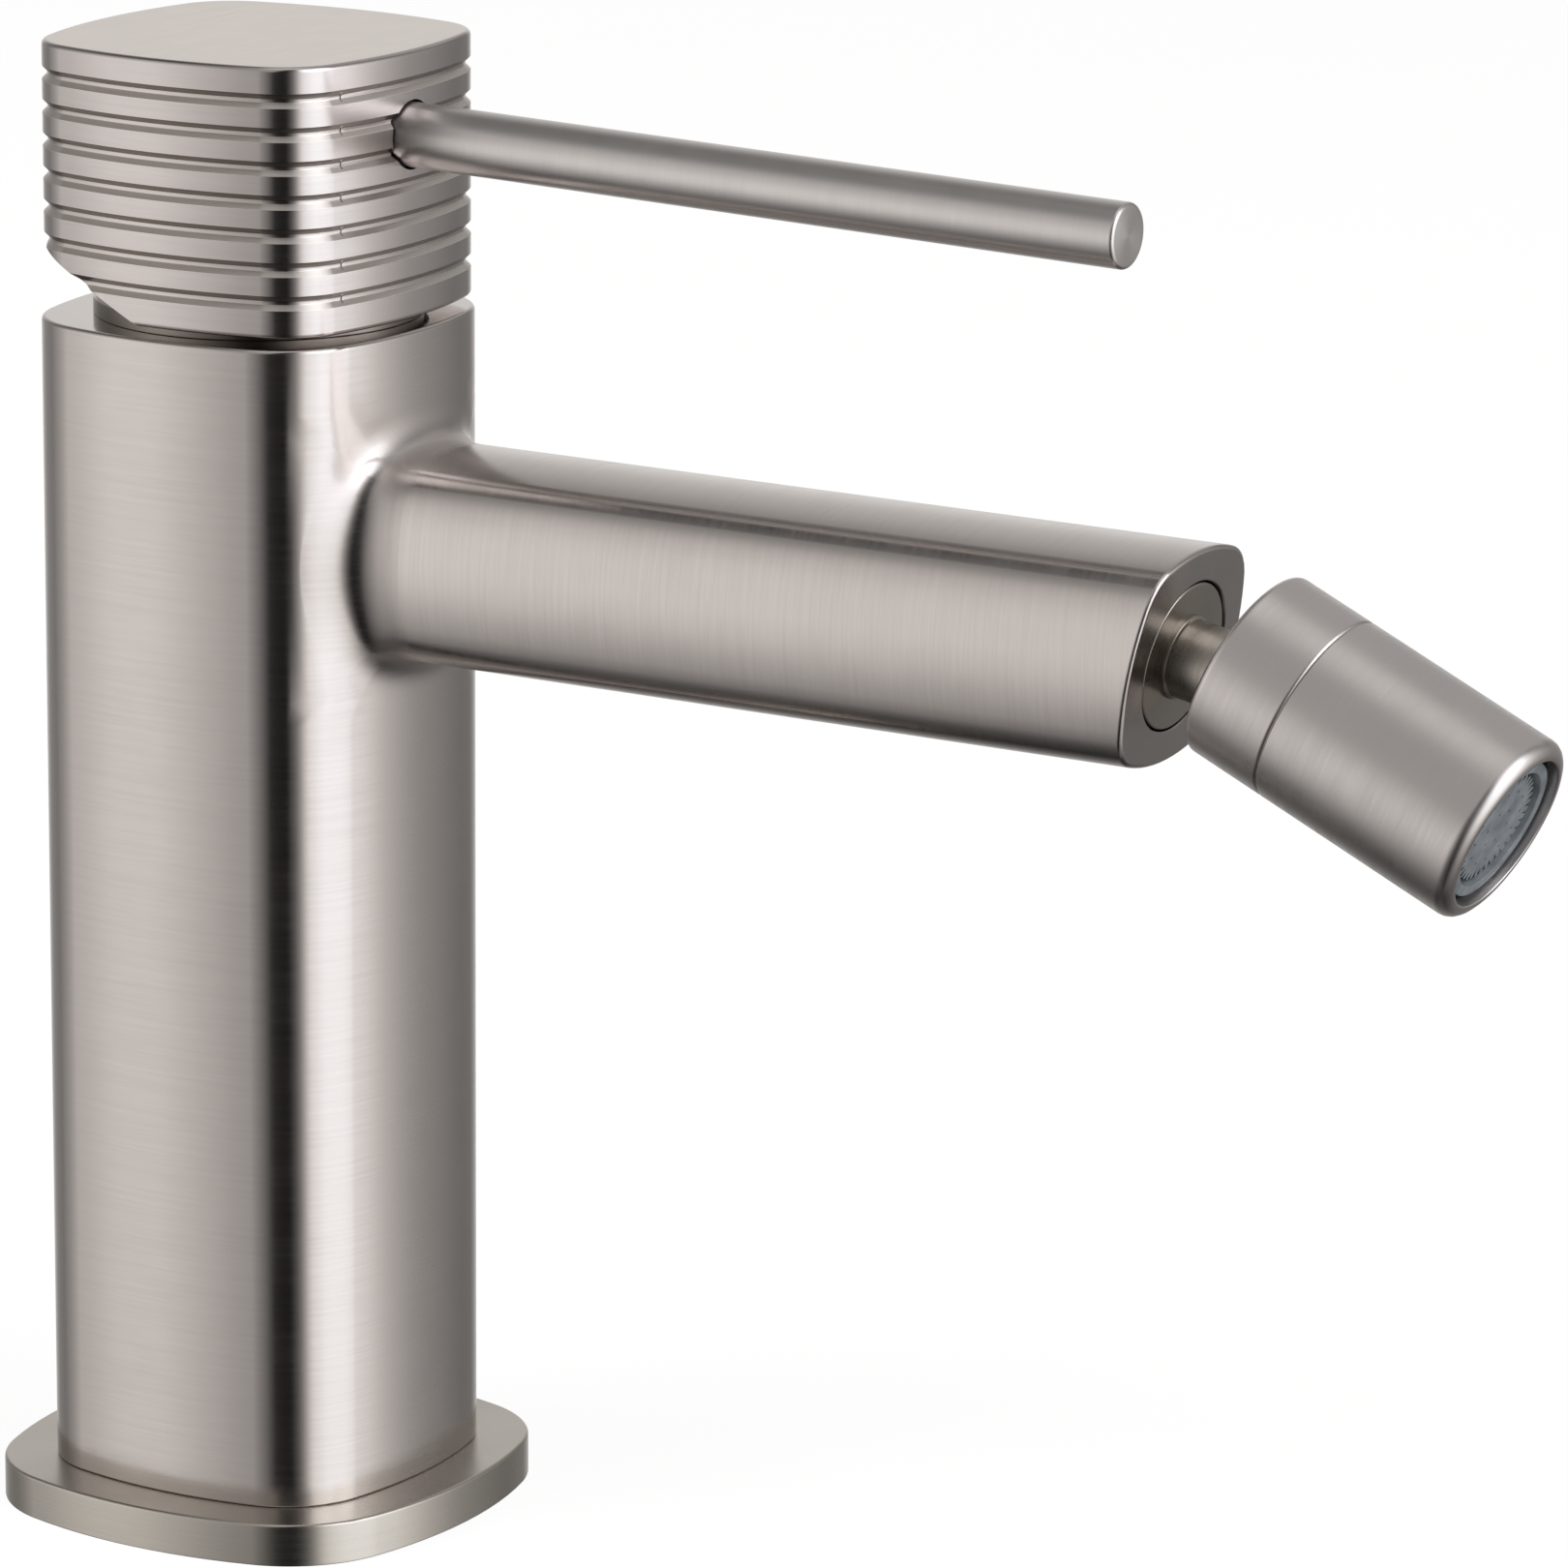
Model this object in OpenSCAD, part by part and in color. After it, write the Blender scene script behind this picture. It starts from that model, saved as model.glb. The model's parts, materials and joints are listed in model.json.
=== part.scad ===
// Single-lever bidet mixer with a swivelling nozzle, for one deck hole.
// The origin is on the deck under the column's axis. +X runs along the spout, +Z is up.
// Millimetres. Every piece is drawn where it sits with the lever closed.

/* [Base flange] */
// Width of the flange across its flat sides
flange_w = 53.4; // [52:0.1:60]
// Height of the flange, which carries the column
flange_h = 4.8; // [4:0.1:6]
// Radius of the flange's long side arcs
flange_side_r = 54; // [50:1:80]
// Radius of the flange's corner arcs
flange_corner_r = 14.4; // [12:0.1:16]

/* [Column] */
// Width of the column across its flat sides
column_w = 42; // [42:0.1:44]
// Height of the column's top face above the deck
column_top = 134.4; // [132:0.1:137]
// Radius of the column's long side arcs
column_side_r = 52; // [48:1:70]
// Radius of the column's corner arcs
column_corner_r = 10.8; // [10:0.1:12]

/* [Spout] */
// Width and height of the spout's section
spout_w = 23.4; // [23:0.1:24]
// Height of the spout's axis above the column's top face, below it when negative
spout_z = -24.2; // [-25.4:0.1:-23.4]
// Distance from the column's axis to the middle of the end face
spout_reach = 114.9; // [100:0.1:125]
// Slant of the end face, its top leaning out
spout_slant = 11.6; // [8:0.1:14]
// Radius of the spout's side arcs
spout_side_r = 24; // [22:0.5:30]
// Radius of the spout's corner arcs
spout_corner_r = 5.6; // [5:0.1:6.5]
// Radius of the blend where the spout meets the column
root_blend_r = 3; // [2:0.1:3.5]
// Radius of the water bore along the spout
spout_bore_r = 6; // [5:0.1:6.2]

/* [Handle] */
// Width of the handle block across its flat sides
handle_w = 40.4; // [40:0.1:41]
// Height of the handle block
handle_h = 29.2; // [28.5:0.1:29.5]
// Gap between the column's top and the handle block
handle_gap = 1.1; // [1:0.1:1.6]
// Radius of the block's side arcs
handle_side_r = 54; // [50:1:70]
// Radius of the block's corner arcs
handle_corner_r = 7.9; // [7:0.1:9]
// Number of grooves round the block
groove_count = 7; // [3:1:7]
// Distance between grooves
groove_pitch = 3.62; // [3.5:0.01:3.7]
// Distance from the block's top to the first groove
groove_first = 3.62; // [3.2:0.01:3.8]
// Width of a groove at mid depth
groove_w = 1; // [0.8:0.05:1.2]
// Depth of a groove
groove_depth = 0.6; // [0.4:0.05:0.8]
// How far behind the column's axis the slanted cut under the block starts
back_cut_x = 1.85; // [1.6:0.05:2]
// Slope of that cut
back_cut_angle = 25.3; // [24:0.1:27]

/* [Lever] */
// Diameter of the lever rod
lever_d = 7; // [6.5:0.1:7.2]
// Reach of the lever's tip from the column's axis
lever_reach = 107.6; // [80:0.1:115]
// Height of the lever's axis above the block's foot, where it leaves the block
lever_z = 20.05; // [19.5:0.05:20.5]
// Droop of the lever below level, in degrees
lever_droop = 1.44; // [0:0.02:2]

/* [Nozzle] */
// Distance from the spout's end face to the ball's centre
ball_reach = 14.4; // [14:0.1:15]
// Pitch of the nozzle below level as it hangs
nozzle_pitch = 24.8; // [15:0.1:26]
// Turn of the nozzle to the side as it hangs
nozzle_yaw = 0; // [-6:0.1:6]
// Outer diameter of the nozzle
nozzle_d = 21; // [21:0.1:22]
// Distance from the ball's centre back to the nozzle's rear face
nozzle_back = 7.7; // [7.4:0.1:8]
// Distance from the ball's centre to the seam between nut and housing
nozzle_seam = 1.8; // [1.8:0.1:2.4]
// Distance from the ball's centre to the mouth
nozzle_front = 25.7; // [24.5:0.1:28]

/* [Cartridge] */
// Outer diameter of the cartridge
cartridge_d = 28; // [28:0.1:28.4]
// Depth of the cartridge's seat below the column's top
seat_depth = 36; // [36:0.1:37]
// Distance from the column's top down to the spindle's pivot
pivot_depth = 4; // [3.8:0.1:4.2]
// Width of the square spindle
spindle_w = 6.4; // [6:0.1:6.6]
// Lean of the spindle towards the lever when closed, half of its travel
spindle_lean = 9; // [8:0.5:9]

/* [Hidden] */
$fn = 96;

// Fits, as radial clearances
running = 0.05;
thread_fit = 0.02;
loose = 0.3;

// Flange and gasket
gasket_in_r = 19.6;
gasket_out_r = 23.4;
gasket_h = 1.5;
spigot_r = 18;
spigot_foot = 0.6;
spigot_groove_r = 16.2;
spigot_groove_h = 2.2;
flange_ring_r = 0.95;

// Threads, at their tap drill or root size
stud_r = 3.4;
stud_x = -8;
stud_len = 14;
inlet_thread_r = 4.5;
inlet_len = 12;
inlet_x = 4;
inlet_y = 6.5;
water_way_r = 2.6;

// Cartridge, from its seat up
seat_z = column_top - seat_depth;
spout_axis_z = column_top + spout_z;
cartridge_r = cartridge_d / 2;
cartridge_bore_r = cartridge_r + loose;
chamber_r = cartridge_bore_r + 1.3;
chamber_z = seat_z + 2;
chamber_top_depth = 17.4;
chamber_top = column_top - chamber_top_depth;
base_h = 5;
base_step_h = 2;
port_r = 2.4;
port_seal_r = 4.15;
port_seal_h = 1.5;
outlet_x = -4.5;
peg_r = 1.5;
peg_len = 3;
peg_x = -9;
peg_y = 8;
fixed_r = 11;
disc_h = 3;
fixed_z = seat_z + base_h + base_step_h;
moving_z = fixed_z + disc_h;
moving_r = 8;
carrier_z = moving_z + disc_h;
carrier_h = 3.5;
carrier_r = 9.6;
carrier_half_w = 8.3;
boss_r = 5;
boss_h = 4;
housing_in_r = 11.8;
base_step_r = housing_in_r - running;
housing_z = seat_z + base_h;
nut_h = 8.8;
nut_recess = 0.2;
nut_body_top = column_top - nut_recess;
shoulder_z = nut_body_top - nut_h;
roof_h = 2.6;
neck_r = 10.8;
neck_rise = 0.5;
neck_top = column_top + neck_rise;
ring_groove_depth = 15.4;
ring_slack = 0.03;
ring_groove_z = column_top - ring_groove_depth;
ring_groove_h = 1.8;
ring_groove_r = 12.9;
housing_ring_r = (cartridge_bore_r - ring_groove_r) / 2 - ring_slack;

// Rotor and spindle
pivot_z = column_top - pivot_depth;
rotor_r = 11.5;
rotor_depth = 15;
rotor_z = column_top - rotor_depth;
rotor_flange_h = 3;
rotor_neck_r = 8.5;
rotor_rise = 2;
rotor_top = column_top + rotor_rise;
rail_bottom = carrier_z + 0.2;
rail_half_x = 6;
slot_half_x = 5;
pin_r = 1.6;
pin_len = 16.6;
spindle_up = 19.6;
leg_r = 2.3;
foot_r = 2.8;
pocket_depth = boss_h + 0.6;
foot_reach = pivot_z - carrier_z - carrier_h - boss_h + pocket_depth - loose - foot_r;
barrel_r = 4;
foot_x = -foot_reach * sin(spindle_lean);
limiter_r = 10.4;
limiter_teeth = 24;

// Retaining nut and collar
nut_thread_r = 16;
nut_bore_r = neck_r + loose;
nut_neck_r = 14.5;
nut_neck_rise = 3;
nut_neck_top = column_top + nut_neck_rise;
nut_notches = 6;
collar_r = 18;
collar_skirt = 1.8;
collar_h = 6;
collar_lip_r = 13.8;
dome_r = sqrt(pow(collar_r, 2) + pow(pivot_depth + collar_skirt, 2));
collar_ring_r = 0.45;
collar_ring_centre_r = 16.5;

// Handle block inside
handle_z = column_top + handle_gap;
lever_axis_z = handle_z + lever_z;
handle_top = handle_z + handle_h;
handle_half = handle_w / 2;
cavity_r = dome_r + loose;
hub_r = 7.2;
hub_foot = 10.5;
socket_r = 5.9;
socket_end = 20.8;
adapter_gap = 0.2;
lever_r = lever_d / 2;
lever_hole_r = lever_r + loose;
lever_root_x = 9;
lever_stub_x = 2;
stub_r = 2.5;
grub_r = 2.5;
grub_z = handle_top - 16.1;
grub_len = 10;
grub_point_r = 1.2;
grub_point_len = 1.6;

// Ball joint and nozzle, along their own axes
head_hole_r = 8.25;
head_hole_depth = 3.4;
head_r = 7.9;
head_recess = 0.4;
head_h = 2.2;
shank_r = 7;
shank_len = 8.8;
stem_r = 4.05;
stem_ring_r = 4.6;
stem_bore_r = 2.6;
ball_r = 7;
ball_face = 6.2;
cup_wall = 0.56;
cup_back = 3.2;
cup_front = 5.5;
seat_ring_back = -3.6;
seat_ring_front = -0.8;
nozzle_r = nozzle_d / 2;
nut_in_r = 8.35;
lip_r = 6.1;
flare_r = 7.9;
joint_thread_r = 9.4;
nut_spigot_len = 5.2;
shoulder_t = 7.4;
passage_r = 5.5;
passage_len = 3;
mouth_r = 8.9;
washer_h = 1.2;
cage_r = 8.3;
ledge_r = 7.55;
sieve_r = ledge_r - running;
sieve_rim_h = 0.6;
regulator_h = 1.8;
ledge_depth = sieve_rim_h + regulator_h;
mesh_h = 0.4;
mesh_r = 6.8;
mesh_steps = [5.2, 7];
cage_bore_r = 6.2;
cage_recess = 1;
cage_t = shoulder_t + passage_len + washer_h;
cage_end = nozzle_front - cage_recess;
grid_r = 7;
grid_t = cage_end - 2;
grid_h = 0.6;
face_r = 6.2;
face_h = 1.1;
face_hole_r = 0.3;
face_pitch = 1.75;
face_rings = 3;
serrations = 36;

// Outline steps of the rounded squares
side_steps = 6;
corner_steps = 8;

// Centre of the corner arcs, on the diagonal, for arcs that meet without a kink
function corner_centre(half_w, side_r, corner_r) =
    (half_w - side_r + sqrt(2 * pow(side_r - corner_r, 2) - pow(half_w - side_r, 2))) / 2;

// Half of the angle that one side arc spans
function side_angle(half_w, side_r, corner_r) =
    let (c = corner_centre(half_w, side_r, corner_r)) atan2(c, c - half_w + side_r);

function arc(cx, cy, r, from, to, steps) =
    [for (i = [0:steps - 1]) let (a = from + (to - from) * i / steps) [cx + r * cos(a), cy + r * sin(a)]];

function turned(points, a) = [for (p = points) [p[0] * cos(a) - p[1] * sin(a), p[0] * sin(a) + p[1] * cos(a)]];

// Outline of a rounded square from four side arcs and four corner arcs
function rounded_square(half_w, side_r, corner_r) =
    let (
        c = corner_centre(half_w, side_r, corner_r),
        a = side_angle(half_w, side_r, corner_r),
        side = arc(half_w - side_r, 0, side_r, -a, a, side_steps),
        corner = arc(c, c, corner_r, a, 90 - a, corner_steps)
    )
    [for (k = [0:3]) each turned(concat(side, corner), 90 * k)];

module column_outline(inset = 0) {
    polygon(rounded_square(column_w / 2 - inset, column_side_r - inset, column_corner_r - inset));
}

module flange_outline() {
    polygon(rounded_square(flange_w / 2, flange_side_r, flange_corner_r));
}

module spout_outline(grow = 0) {
    polygon(rounded_square(spout_w / 2 + grow, spout_side_r + grow, spout_corner_r + grow));
}

module handle_outline(inset = 0) {
    polygon(rounded_square(handle_half - inset, handle_side_r - inset, handle_corner_r - inset));
}

// A slice of the spout that starts at x
module spout_slice(x, len, grow = 0) {
    translate([x, 0, spout_axis_z]) rotate([90, 0, 90]) linear_extrude(len) spout_outline(grow);
}

module tube(r_out, r_in, h) {
    difference() {
        cylinder(r = r_out, h = h);
        translate([0, 0, -1]) cylinder(r = r_in, h = h + 2);
    }
}

module o_ring(centre_r, ring_r) {
    rotate_extrude() translate([centre_r, 0]) circle(r = ring_r, $fn = 32);
}

// Frame of the spout's end: +Z leaves the slanted face at its middle
module at_spout_end() {
    translate([spout_reach, 0, spout_axis_z]) rotate([0, 90 + spout_slant, 0]) children();
}

ball_x = spout_reach + ball_reach * cos(spout_slant);
ball_z = spout_axis_z - ball_reach * sin(spout_slant);

// Frame of the nozzle: the ball's centre, +Z towards the mouth
module at_nozzle() {
    translate([ball_x, 0, ball_z]) rotate([0, 90 + nozzle_pitch, nozzle_yaw]) children();
}

// Frame of the spindle: the pivot, +Z up along the leaning spindle
module at_spindle() {
    translate([0, 0, pivot_z]) rotate([0, spindle_lean, 0]) children();
}

// Frame of the lever: where its axis crosses the block's front face, +Z towards the tip
module at_lever() {
    translate([handle_half, 0, lever_axis_z]) rotate([0, 90 + lever_droop, 0]) children();
}

// Blend between spout and column: three short flares that follow an arc
module root_blend() {
    start = column_w / 2 - 2.2;
    steps = 3;
    for (i = [0:steps - 1]) hull() {
        spout_slice(start + root_blend_r * (1 - cos(90 * i / steps)), 0.02,
            root_blend_r * (1 - sin(90 * i / steps)));
        spout_slice(start + root_blend_r * (1 - cos(90 * (i + 1) / steps)), 0.02,
            root_blend_r * (1 - sin(90 * (i + 1) / steps)));
    }
}

module body() color("silver") difference() {
    union() {
        translate([0, 0, flange_h]) linear_extrude(column_top - flange_h) column_outline();
        translate([0, 0, spigot_foot]) cylinder(r = spigot_r, h = flange_h - spigot_foot + 1);
        spout_slice(spout_w / 2, spout_reach);
        root_blend();
    }
    // The slanted end
    at_spout_end() translate([-spout_w, -spout_w, 0]) cube([2 * spout_w, 2 * spout_w, 2 * spout_w]);
    // The cartridge bore, its outlet chamber and the nut's thread
    translate([0, 0, seat_z]) cylinder(r = cartridge_bore_r, h = seat_depth + 1);
    translate([0, 0, chamber_z]) cylinder(r = chamber_r, h = chamber_top - chamber_z);
    translate([0, 0, shoulder_z - 1]) cylinder(r = nut_thread_r, h = nut_h + 3);
    // Water ways, inlet threads and the stud's thread
    for (s = [-1, 1]) {
        translate([inlet_x, s * inlet_y, spigot_foot + inlet_len]) cylinder(r = water_way_r, h = seat_z);
        translate([inlet_x, s * inlet_y, spigot_foot - 1]) cylinder(r = inlet_thread_r, h = inlet_len + 1);
        translate([peg_x, s * peg_y, seat_z - peg_len - 0.2]) cylinder(r = peg_r + running, h = peg_len + 1);
    }
    translate([stud_x, 0, spigot_foot - 1]) cylinder(r = stud_r, h = stud_len + 1);
    // The groove for the flange's O-ring
    translate([0, 0, (flange_h - spigot_groove_h) / 2]) tube(spigot_r + 1, spigot_groove_r, spigot_groove_h);
    // The spout's bore, then the insert's thread and counterbore
    translate([cartridge_r - 2, 0, spout_axis_z]) rotate([0, 90, 0])
        cylinder(r = spout_bore_r, h = spout_reach - cartridge_r - 10);
    at_spout_end() {
        translate([0, 0, -head_hole_depth]) cylinder(r = head_hole_r, h = head_hole_depth + 5);
        translate([0, 0, -head_hole_depth - shank_len - 1.2])
            cylinder(r = shank_r + thread_fit, h = shank_len + 3);
    }
}

module base_flange() color("silver") difference() {
    linear_extrude(flange_h) flange_outline();
    translate([0, 0, -1]) cylinder(r = spigot_r + loose, h = flange_h + 2);
    translate([0, 0, -1]) tube(gasket_out_r + running, gasket_in_r - running, gasket_h + 1);
}

module base_gasket() color("dimgray") tube(gasket_out_r, gasket_in_r, gasket_h);

module flange_o_ring() color("dimgray") translate([0, 0, flange_h / 2])
    o_ring(spigot_groove_r + running + flange_ring_r, flange_ring_r);

module cartridge_base() color("ivory") translate([0, 0, seat_z]) difference() {
    union() {
        cylinder(r = cartridge_r, h = base_h);
        cylinder(r = base_step_r, h = base_h + base_step_h);
        for (s = [-1, 1]) translate([peg_x, s * peg_y, -peg_len]) cylinder(r = peg_r, h = peg_len + 1);
    }
    for (s = [-1, 1]) translate([inlet_x, s * inlet_y, -1]) {
        cylinder(r = port_r, h = base_h + base_step_h + 2);
        cylinder(r = port_seal_r + running, h = port_seal_h + 1);
    }
    // The outlet, down and out through the back
    translate([outlet_x, 0, 2.4]) cylinder(r = port_r, h = base_h + base_step_h);
    translate([outlet_x - cartridge_r, -3, 2.4]) cube([cartridge_r, 6, 2.2]);
}

module inlet_seals() color("dimgray") for (s = [-1, 1])
    translate([inlet_x, s * inlet_y, seat_z]) tube(port_seal_r, port_r, port_seal_h);

module fixed_disc() color("lightsteelblue") translate([0, 0, fixed_z]) difference() {
    cylinder(r = fixed_r, h = disc_h);
    for (s = [-1, 1]) translate([inlet_x, s * inlet_y, -1]) cylinder(r = port_r, h = disc_h + 2);
    translate([outlet_x, 0, -1]) cylinder(r = port_r, h = disc_h + 2);
}

module moving_disc() color("white") translate([foot_x, 0, moving_z]) difference() {
    cylinder(r = moving_r, h = disc_h);
    translate([-1.5, 0, -1]) cylinder(r = 6, h = 2.6);
}

module disc_carrier() color("ivory") translate([foot_x, 0, carrier_z]) difference() {
    union() {
        intersection() {
            cylinder(r = carrier_r, h = carrier_h);
            translate([-carrier_r, -carrier_half_w, 0]) cube([2 * carrier_r, 2 * carrier_half_w, carrier_h]);
        }
        cylinder(r = boss_r, h = carrier_h + boss_h);
    }
    translate([0, 0, carrier_h + boss_h - pocket_depth])
        cylinder(r = foot_r + 2 * running, h = pocket_depth + 1);
}

module cartridge_housing() color("whitesmoke") difference() {
    union() {
        translate([0, 0, housing_z]) cylinder(r = cartridge_r, h = shoulder_z - housing_z);
        translate([0, 0, housing_z]) cylinder(r = neck_r, h = neck_top - housing_z);
    }
    translate([0, 0, housing_z - 1]) cylinder(r = housing_in_r, h = shoulder_z - roof_h - housing_z + 1);
    cylinder(r = rotor_neck_r + running, h = neck_top + 1);
    translate([0, 0, ring_groove_z]) tube(cartridge_r + 1, ring_groove_r, ring_groove_h);
}

module housing_o_ring() color("dimgray") translate([0, 0, ring_groove_z + ring_groove_h / 2])
    o_ring((ring_groove_r + cartridge_bore_r) / 2, housing_ring_r);

module rotor() color("darkorange") difference() {
    union() {
        translate([0, 0, rotor_z]) cylinder(r = rotor_r, h = rotor_flange_h);
        translate([0, 0, rotor_z]) cylinder(r = rotor_neck_r, h = rotor_top - rotor_z);
        // Rails that guide the carrier
        intersection() {
            translate([0, 0, rail_bottom]) cylinder(r = rotor_r, h = rotor_z - rail_bottom + 1);
            for (s = [0, 180]) rotate(s) translate([-rail_half_x, carrier_half_w + running, rail_bottom])
                cube([2 * rail_half_x, rotor_r, rotor_z - rail_bottom + 1]);
        }
    }
    translate([-slot_half_x, -spindle_w / 2 - 0.25, rotor_z - 1])
        cube([2 * slot_half_x, spindle_w + 0.5, rotor_top]);
    translate([0, rotor_neck_r + 1, pivot_z]) rotate([90, 0, 0])
        cylinder(r = pin_r + 0.01, h = 2 * rotor_neck_r + 2);
}

module pivot_pin() color("gainsboro") translate([0, pin_len / 2, pivot_z]) rotate([90, 0, 0])
    cylinder(r = pin_r, h = pin_len);

module limiter_ring() color("red") translate([0, 0, neck_top + 0.05]) difference() {
    cylinder(r = limiter_r, h = rotor_top - neck_top - 0.25);
    translate([0, 0, -1]) cylinder(r = rotor_neck_r + thread_fit, h = 4);
    for (i = [0:limiter_teeth - 1]) rotate(i * 360 / limiter_teeth)
        translate([limiter_r - 0.6, -0.4, -1]) cube([2, 0.8, 4]);
}

module retaining_nut() color("goldenrod") difference() {
    union() {
        translate([0, 0, shoulder_z]) cylinder(r = nut_thread_r - thread_fit, h = nut_body_top - shoulder_z);
        translate([0, 0, shoulder_z]) cylinder(r = nut_neck_r - thread_fit, h = nut_neck_top - shoulder_z);
    }
    translate([0, 0, shoulder_z - 1]) cylinder(r = nut_bore_r, h = nut_neck_top);
    for (i = [0:nut_notches - 1]) rotate(i * 360 / nut_notches)
        translate([nut_bore_r - 1, -1.5, nut_neck_top - 1.6]) cube([6, 3, 2]);
}

module collar() color("silver") difference() {
    union() {
        translate([0, 0, column_top]) cylinder(r = collar_r, h = collar_skirt);
        intersection() {
            translate([0, 0, column_top + 0.5]) cylinder(r = collar_r, h = collar_h - 0.5);
            translate([0, 0, pivot_z]) sphere(r = dome_r);
        }
    }
    translate([0, 0, column_top - 1]) cylinder(r = nut_neck_r, h = nut_neck_top - column_top + 1.2);
    translate([0, 0, column_top - 1]) cylinder(r = collar_lip_r, h = collar_h + 2);
    translate([0, 0, column_top - 1])
        tube(collar_ring_centre_r + 0.7, collar_ring_centre_r - 0.7, 2 * collar_ring_r + 0.1 + 1);
}

module collar_o_ring() color("dimgray") translate([0, 0, column_top + collar_ring_r])
    o_ring(collar_ring_centre_r, collar_ring_r);

module spindle() color("gainsboro") at_spindle() difference() {
    union() {
        translate([-spindle_w / 2, -spindle_w / 2, 0]) cube([spindle_w, spindle_w, spindle_up]);
        rotate([90, 0, 0]) translate([0, 0, -spindle_w / 2]) cylinder(r = barrel_r, h = spindle_w);
        translate([0, 0, -foot_reach]) cylinder(r = leg_r, h = foot_reach);
        translate([0, 0, -foot_reach]) sphere(r = foot_r);
    }
    rotate([90, 0, 0]) translate([0, 0, -spindle_w]) cylinder(r = pin_r + running, h = 2 * spindle_w);
}

module socket_adapter() color("ivory") difference() {
    at_spindle() difference() {
        translate([0, 0, hub_foot + 0.1])
            cylinder(r = socket_r - thread_fit, h = socket_end - hub_foot - adapter_gap);
        translate([-spindle_w / 2 - running, -spindle_w / 2 - running, hub_foot - 1])
            cube([spindle_w + 2 * running, spindle_w + 2 * running, spindle_up - hub_foot + 1.1]);
    }
    translate([-2 * socket_r, 0, grub_z]) rotate([0, 90, 0]) cylinder(r = grub_r + 0.1, h = 2 * socket_r);
}

module handle_block() color("silver") difference() {
    union() {
        translate([0, 0, handle_z]) linear_extrude(handle_h) handle_outline(groove_depth);
        // Ribs, from the top one down
        for (i = [0:groove_count]) {
            top = i == 0 ? handle_top : handle_top - groove_first - (i - 1) * groove_pitch - groove_w / 2;
            bottom = i == groove_count ? handle_z : handle_top - groove_first - i * groove_pitch + groove_w / 2;
            translate([0, 0, bottom]) linear_extrude(top - bottom) handle_outline();
        }
    }
    // The hollow that clears the collar's dome at any tilt, round the hub
    difference() {
        translate([0, 0, pivot_z]) sphere(r = cavity_r);
        at_spindle() translate([0, 0, hub_foot]) cylinder(r = hub_r, h = cavity_r);
    }
    // The spindle's socket
    at_spindle() translate([0, 0, hub_foot - 1]) cylinder(r = socket_r, h = socket_end - hub_foot + 1);
    // The cut that clears the column when the block tips back
    translate([-back_cut_x, -handle_w, handle_z]) rotate([0, back_cut_angle, 0])
        translate([-2 * handle_w, 0, -handle_w]) cube([2 * handle_w, 2 * handle_w, handle_w]);
    // The lever's hole and thread
    at_lever() {
        translate([0, 0, lever_root_x - handle_half - 0.2]) cylinder(r = lever_hole_r, h = handle_half);
        translate([0, 0, lever_stub_x - handle_half - 0.5]) cylinder(r = stub_r, h = handle_half);
    }
    // The set screw's thread, open at the back
    translate([-handle_half - 1, 0, grub_z]) rotate([0, 90, 0]) cylinder(r = grub_r, h = handle_half + 1);
}

module lever_rod() color("silver") at_lever() {
    shank = lever_reach - handle_half;
    chamfer = 0.4;
    translate([0, 0, lever_root_x - handle_half])
        cylinder(r = lever_r, h = handle_half - lever_root_x + shank - chamfer);
    translate([0, 0, shank - chamfer]) cylinder(r1 = lever_r, r2 = lever_r - chamfer, h = chamfer);
    translate([0, 0, lever_stub_x - handle_half])
        cylinder(r = stub_r - thread_fit, h = lever_root_x - lever_stub_x + 1);
}

module grub_screw() color("dimgray") {
    tip = (grub_z - pivot_z) * tan(spindle_lean) - spindle_w / 2 / cos(spindle_lean) - 0.3;
    translate([tip - grub_len, 0, grub_z]) rotate([0, 90, 0]) difference() {
        union() {
            cylinder(r = grub_r - thread_fit, h = grub_len - grub_point_len);
            cylinder(r = grub_point_r, h = grub_len);
        }
        translate([0, 0, -1]) cylinder(r = 1.45, h = 3.5, $fn = 6);
    }
}

module ball_stem() color("silver") at_spout_end() difference() {
    union() {
        translate([0, 0, -head_recess - head_h]) cylinder(r = head_r, h = head_h);
        translate([0, 0, -head_recess - head_h - shank_len]) cylinder(r = shank_r, h = shank_len + 1);
        translate([0, 0, -head_recess - 1]) cylinder(r = stem_ring_r, h = 1.9);
        translate([0, 0, -head_recess - 1]) cylinder(r = stem_r, h = ball_reach);
        translate([0, 0, ball_reach]) sphere(r = ball_r);
    }
    translate([0, 0, -head_hole_depth - shank_len]) cylinder(r = stem_bore_r, h = 3 * ball_reach);
    translate([0, 0, ball_reach + ball_face]) cylinder(r = ball_r, h = ball_r);
}

module stem_seal() color("dimgray") at_spout_end() translate([0, 0, -head_hole_depth])
    tube(head_hole_r - running, shank_r + running, head_hole_depth - head_recess - head_h);

module ball_cup() color("white") at_nozzle() difference() {
    intersection() {
        sphere(r = ball_r + running + cup_wall);
        translate([0, 0, cup_back]) cylinder(r = nut_in_r, h = cup_front - cup_back);
    }
    sphere(r = ball_r + running);
}

module ball_seat_ring() color("white") at_nozzle() difference() {
    translate([0, 0, seat_ring_back]) cylinder(r = nut_in_r - running, h = seat_ring_front - seat_ring_back);
    sphere(r = ball_r + running);
}

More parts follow.
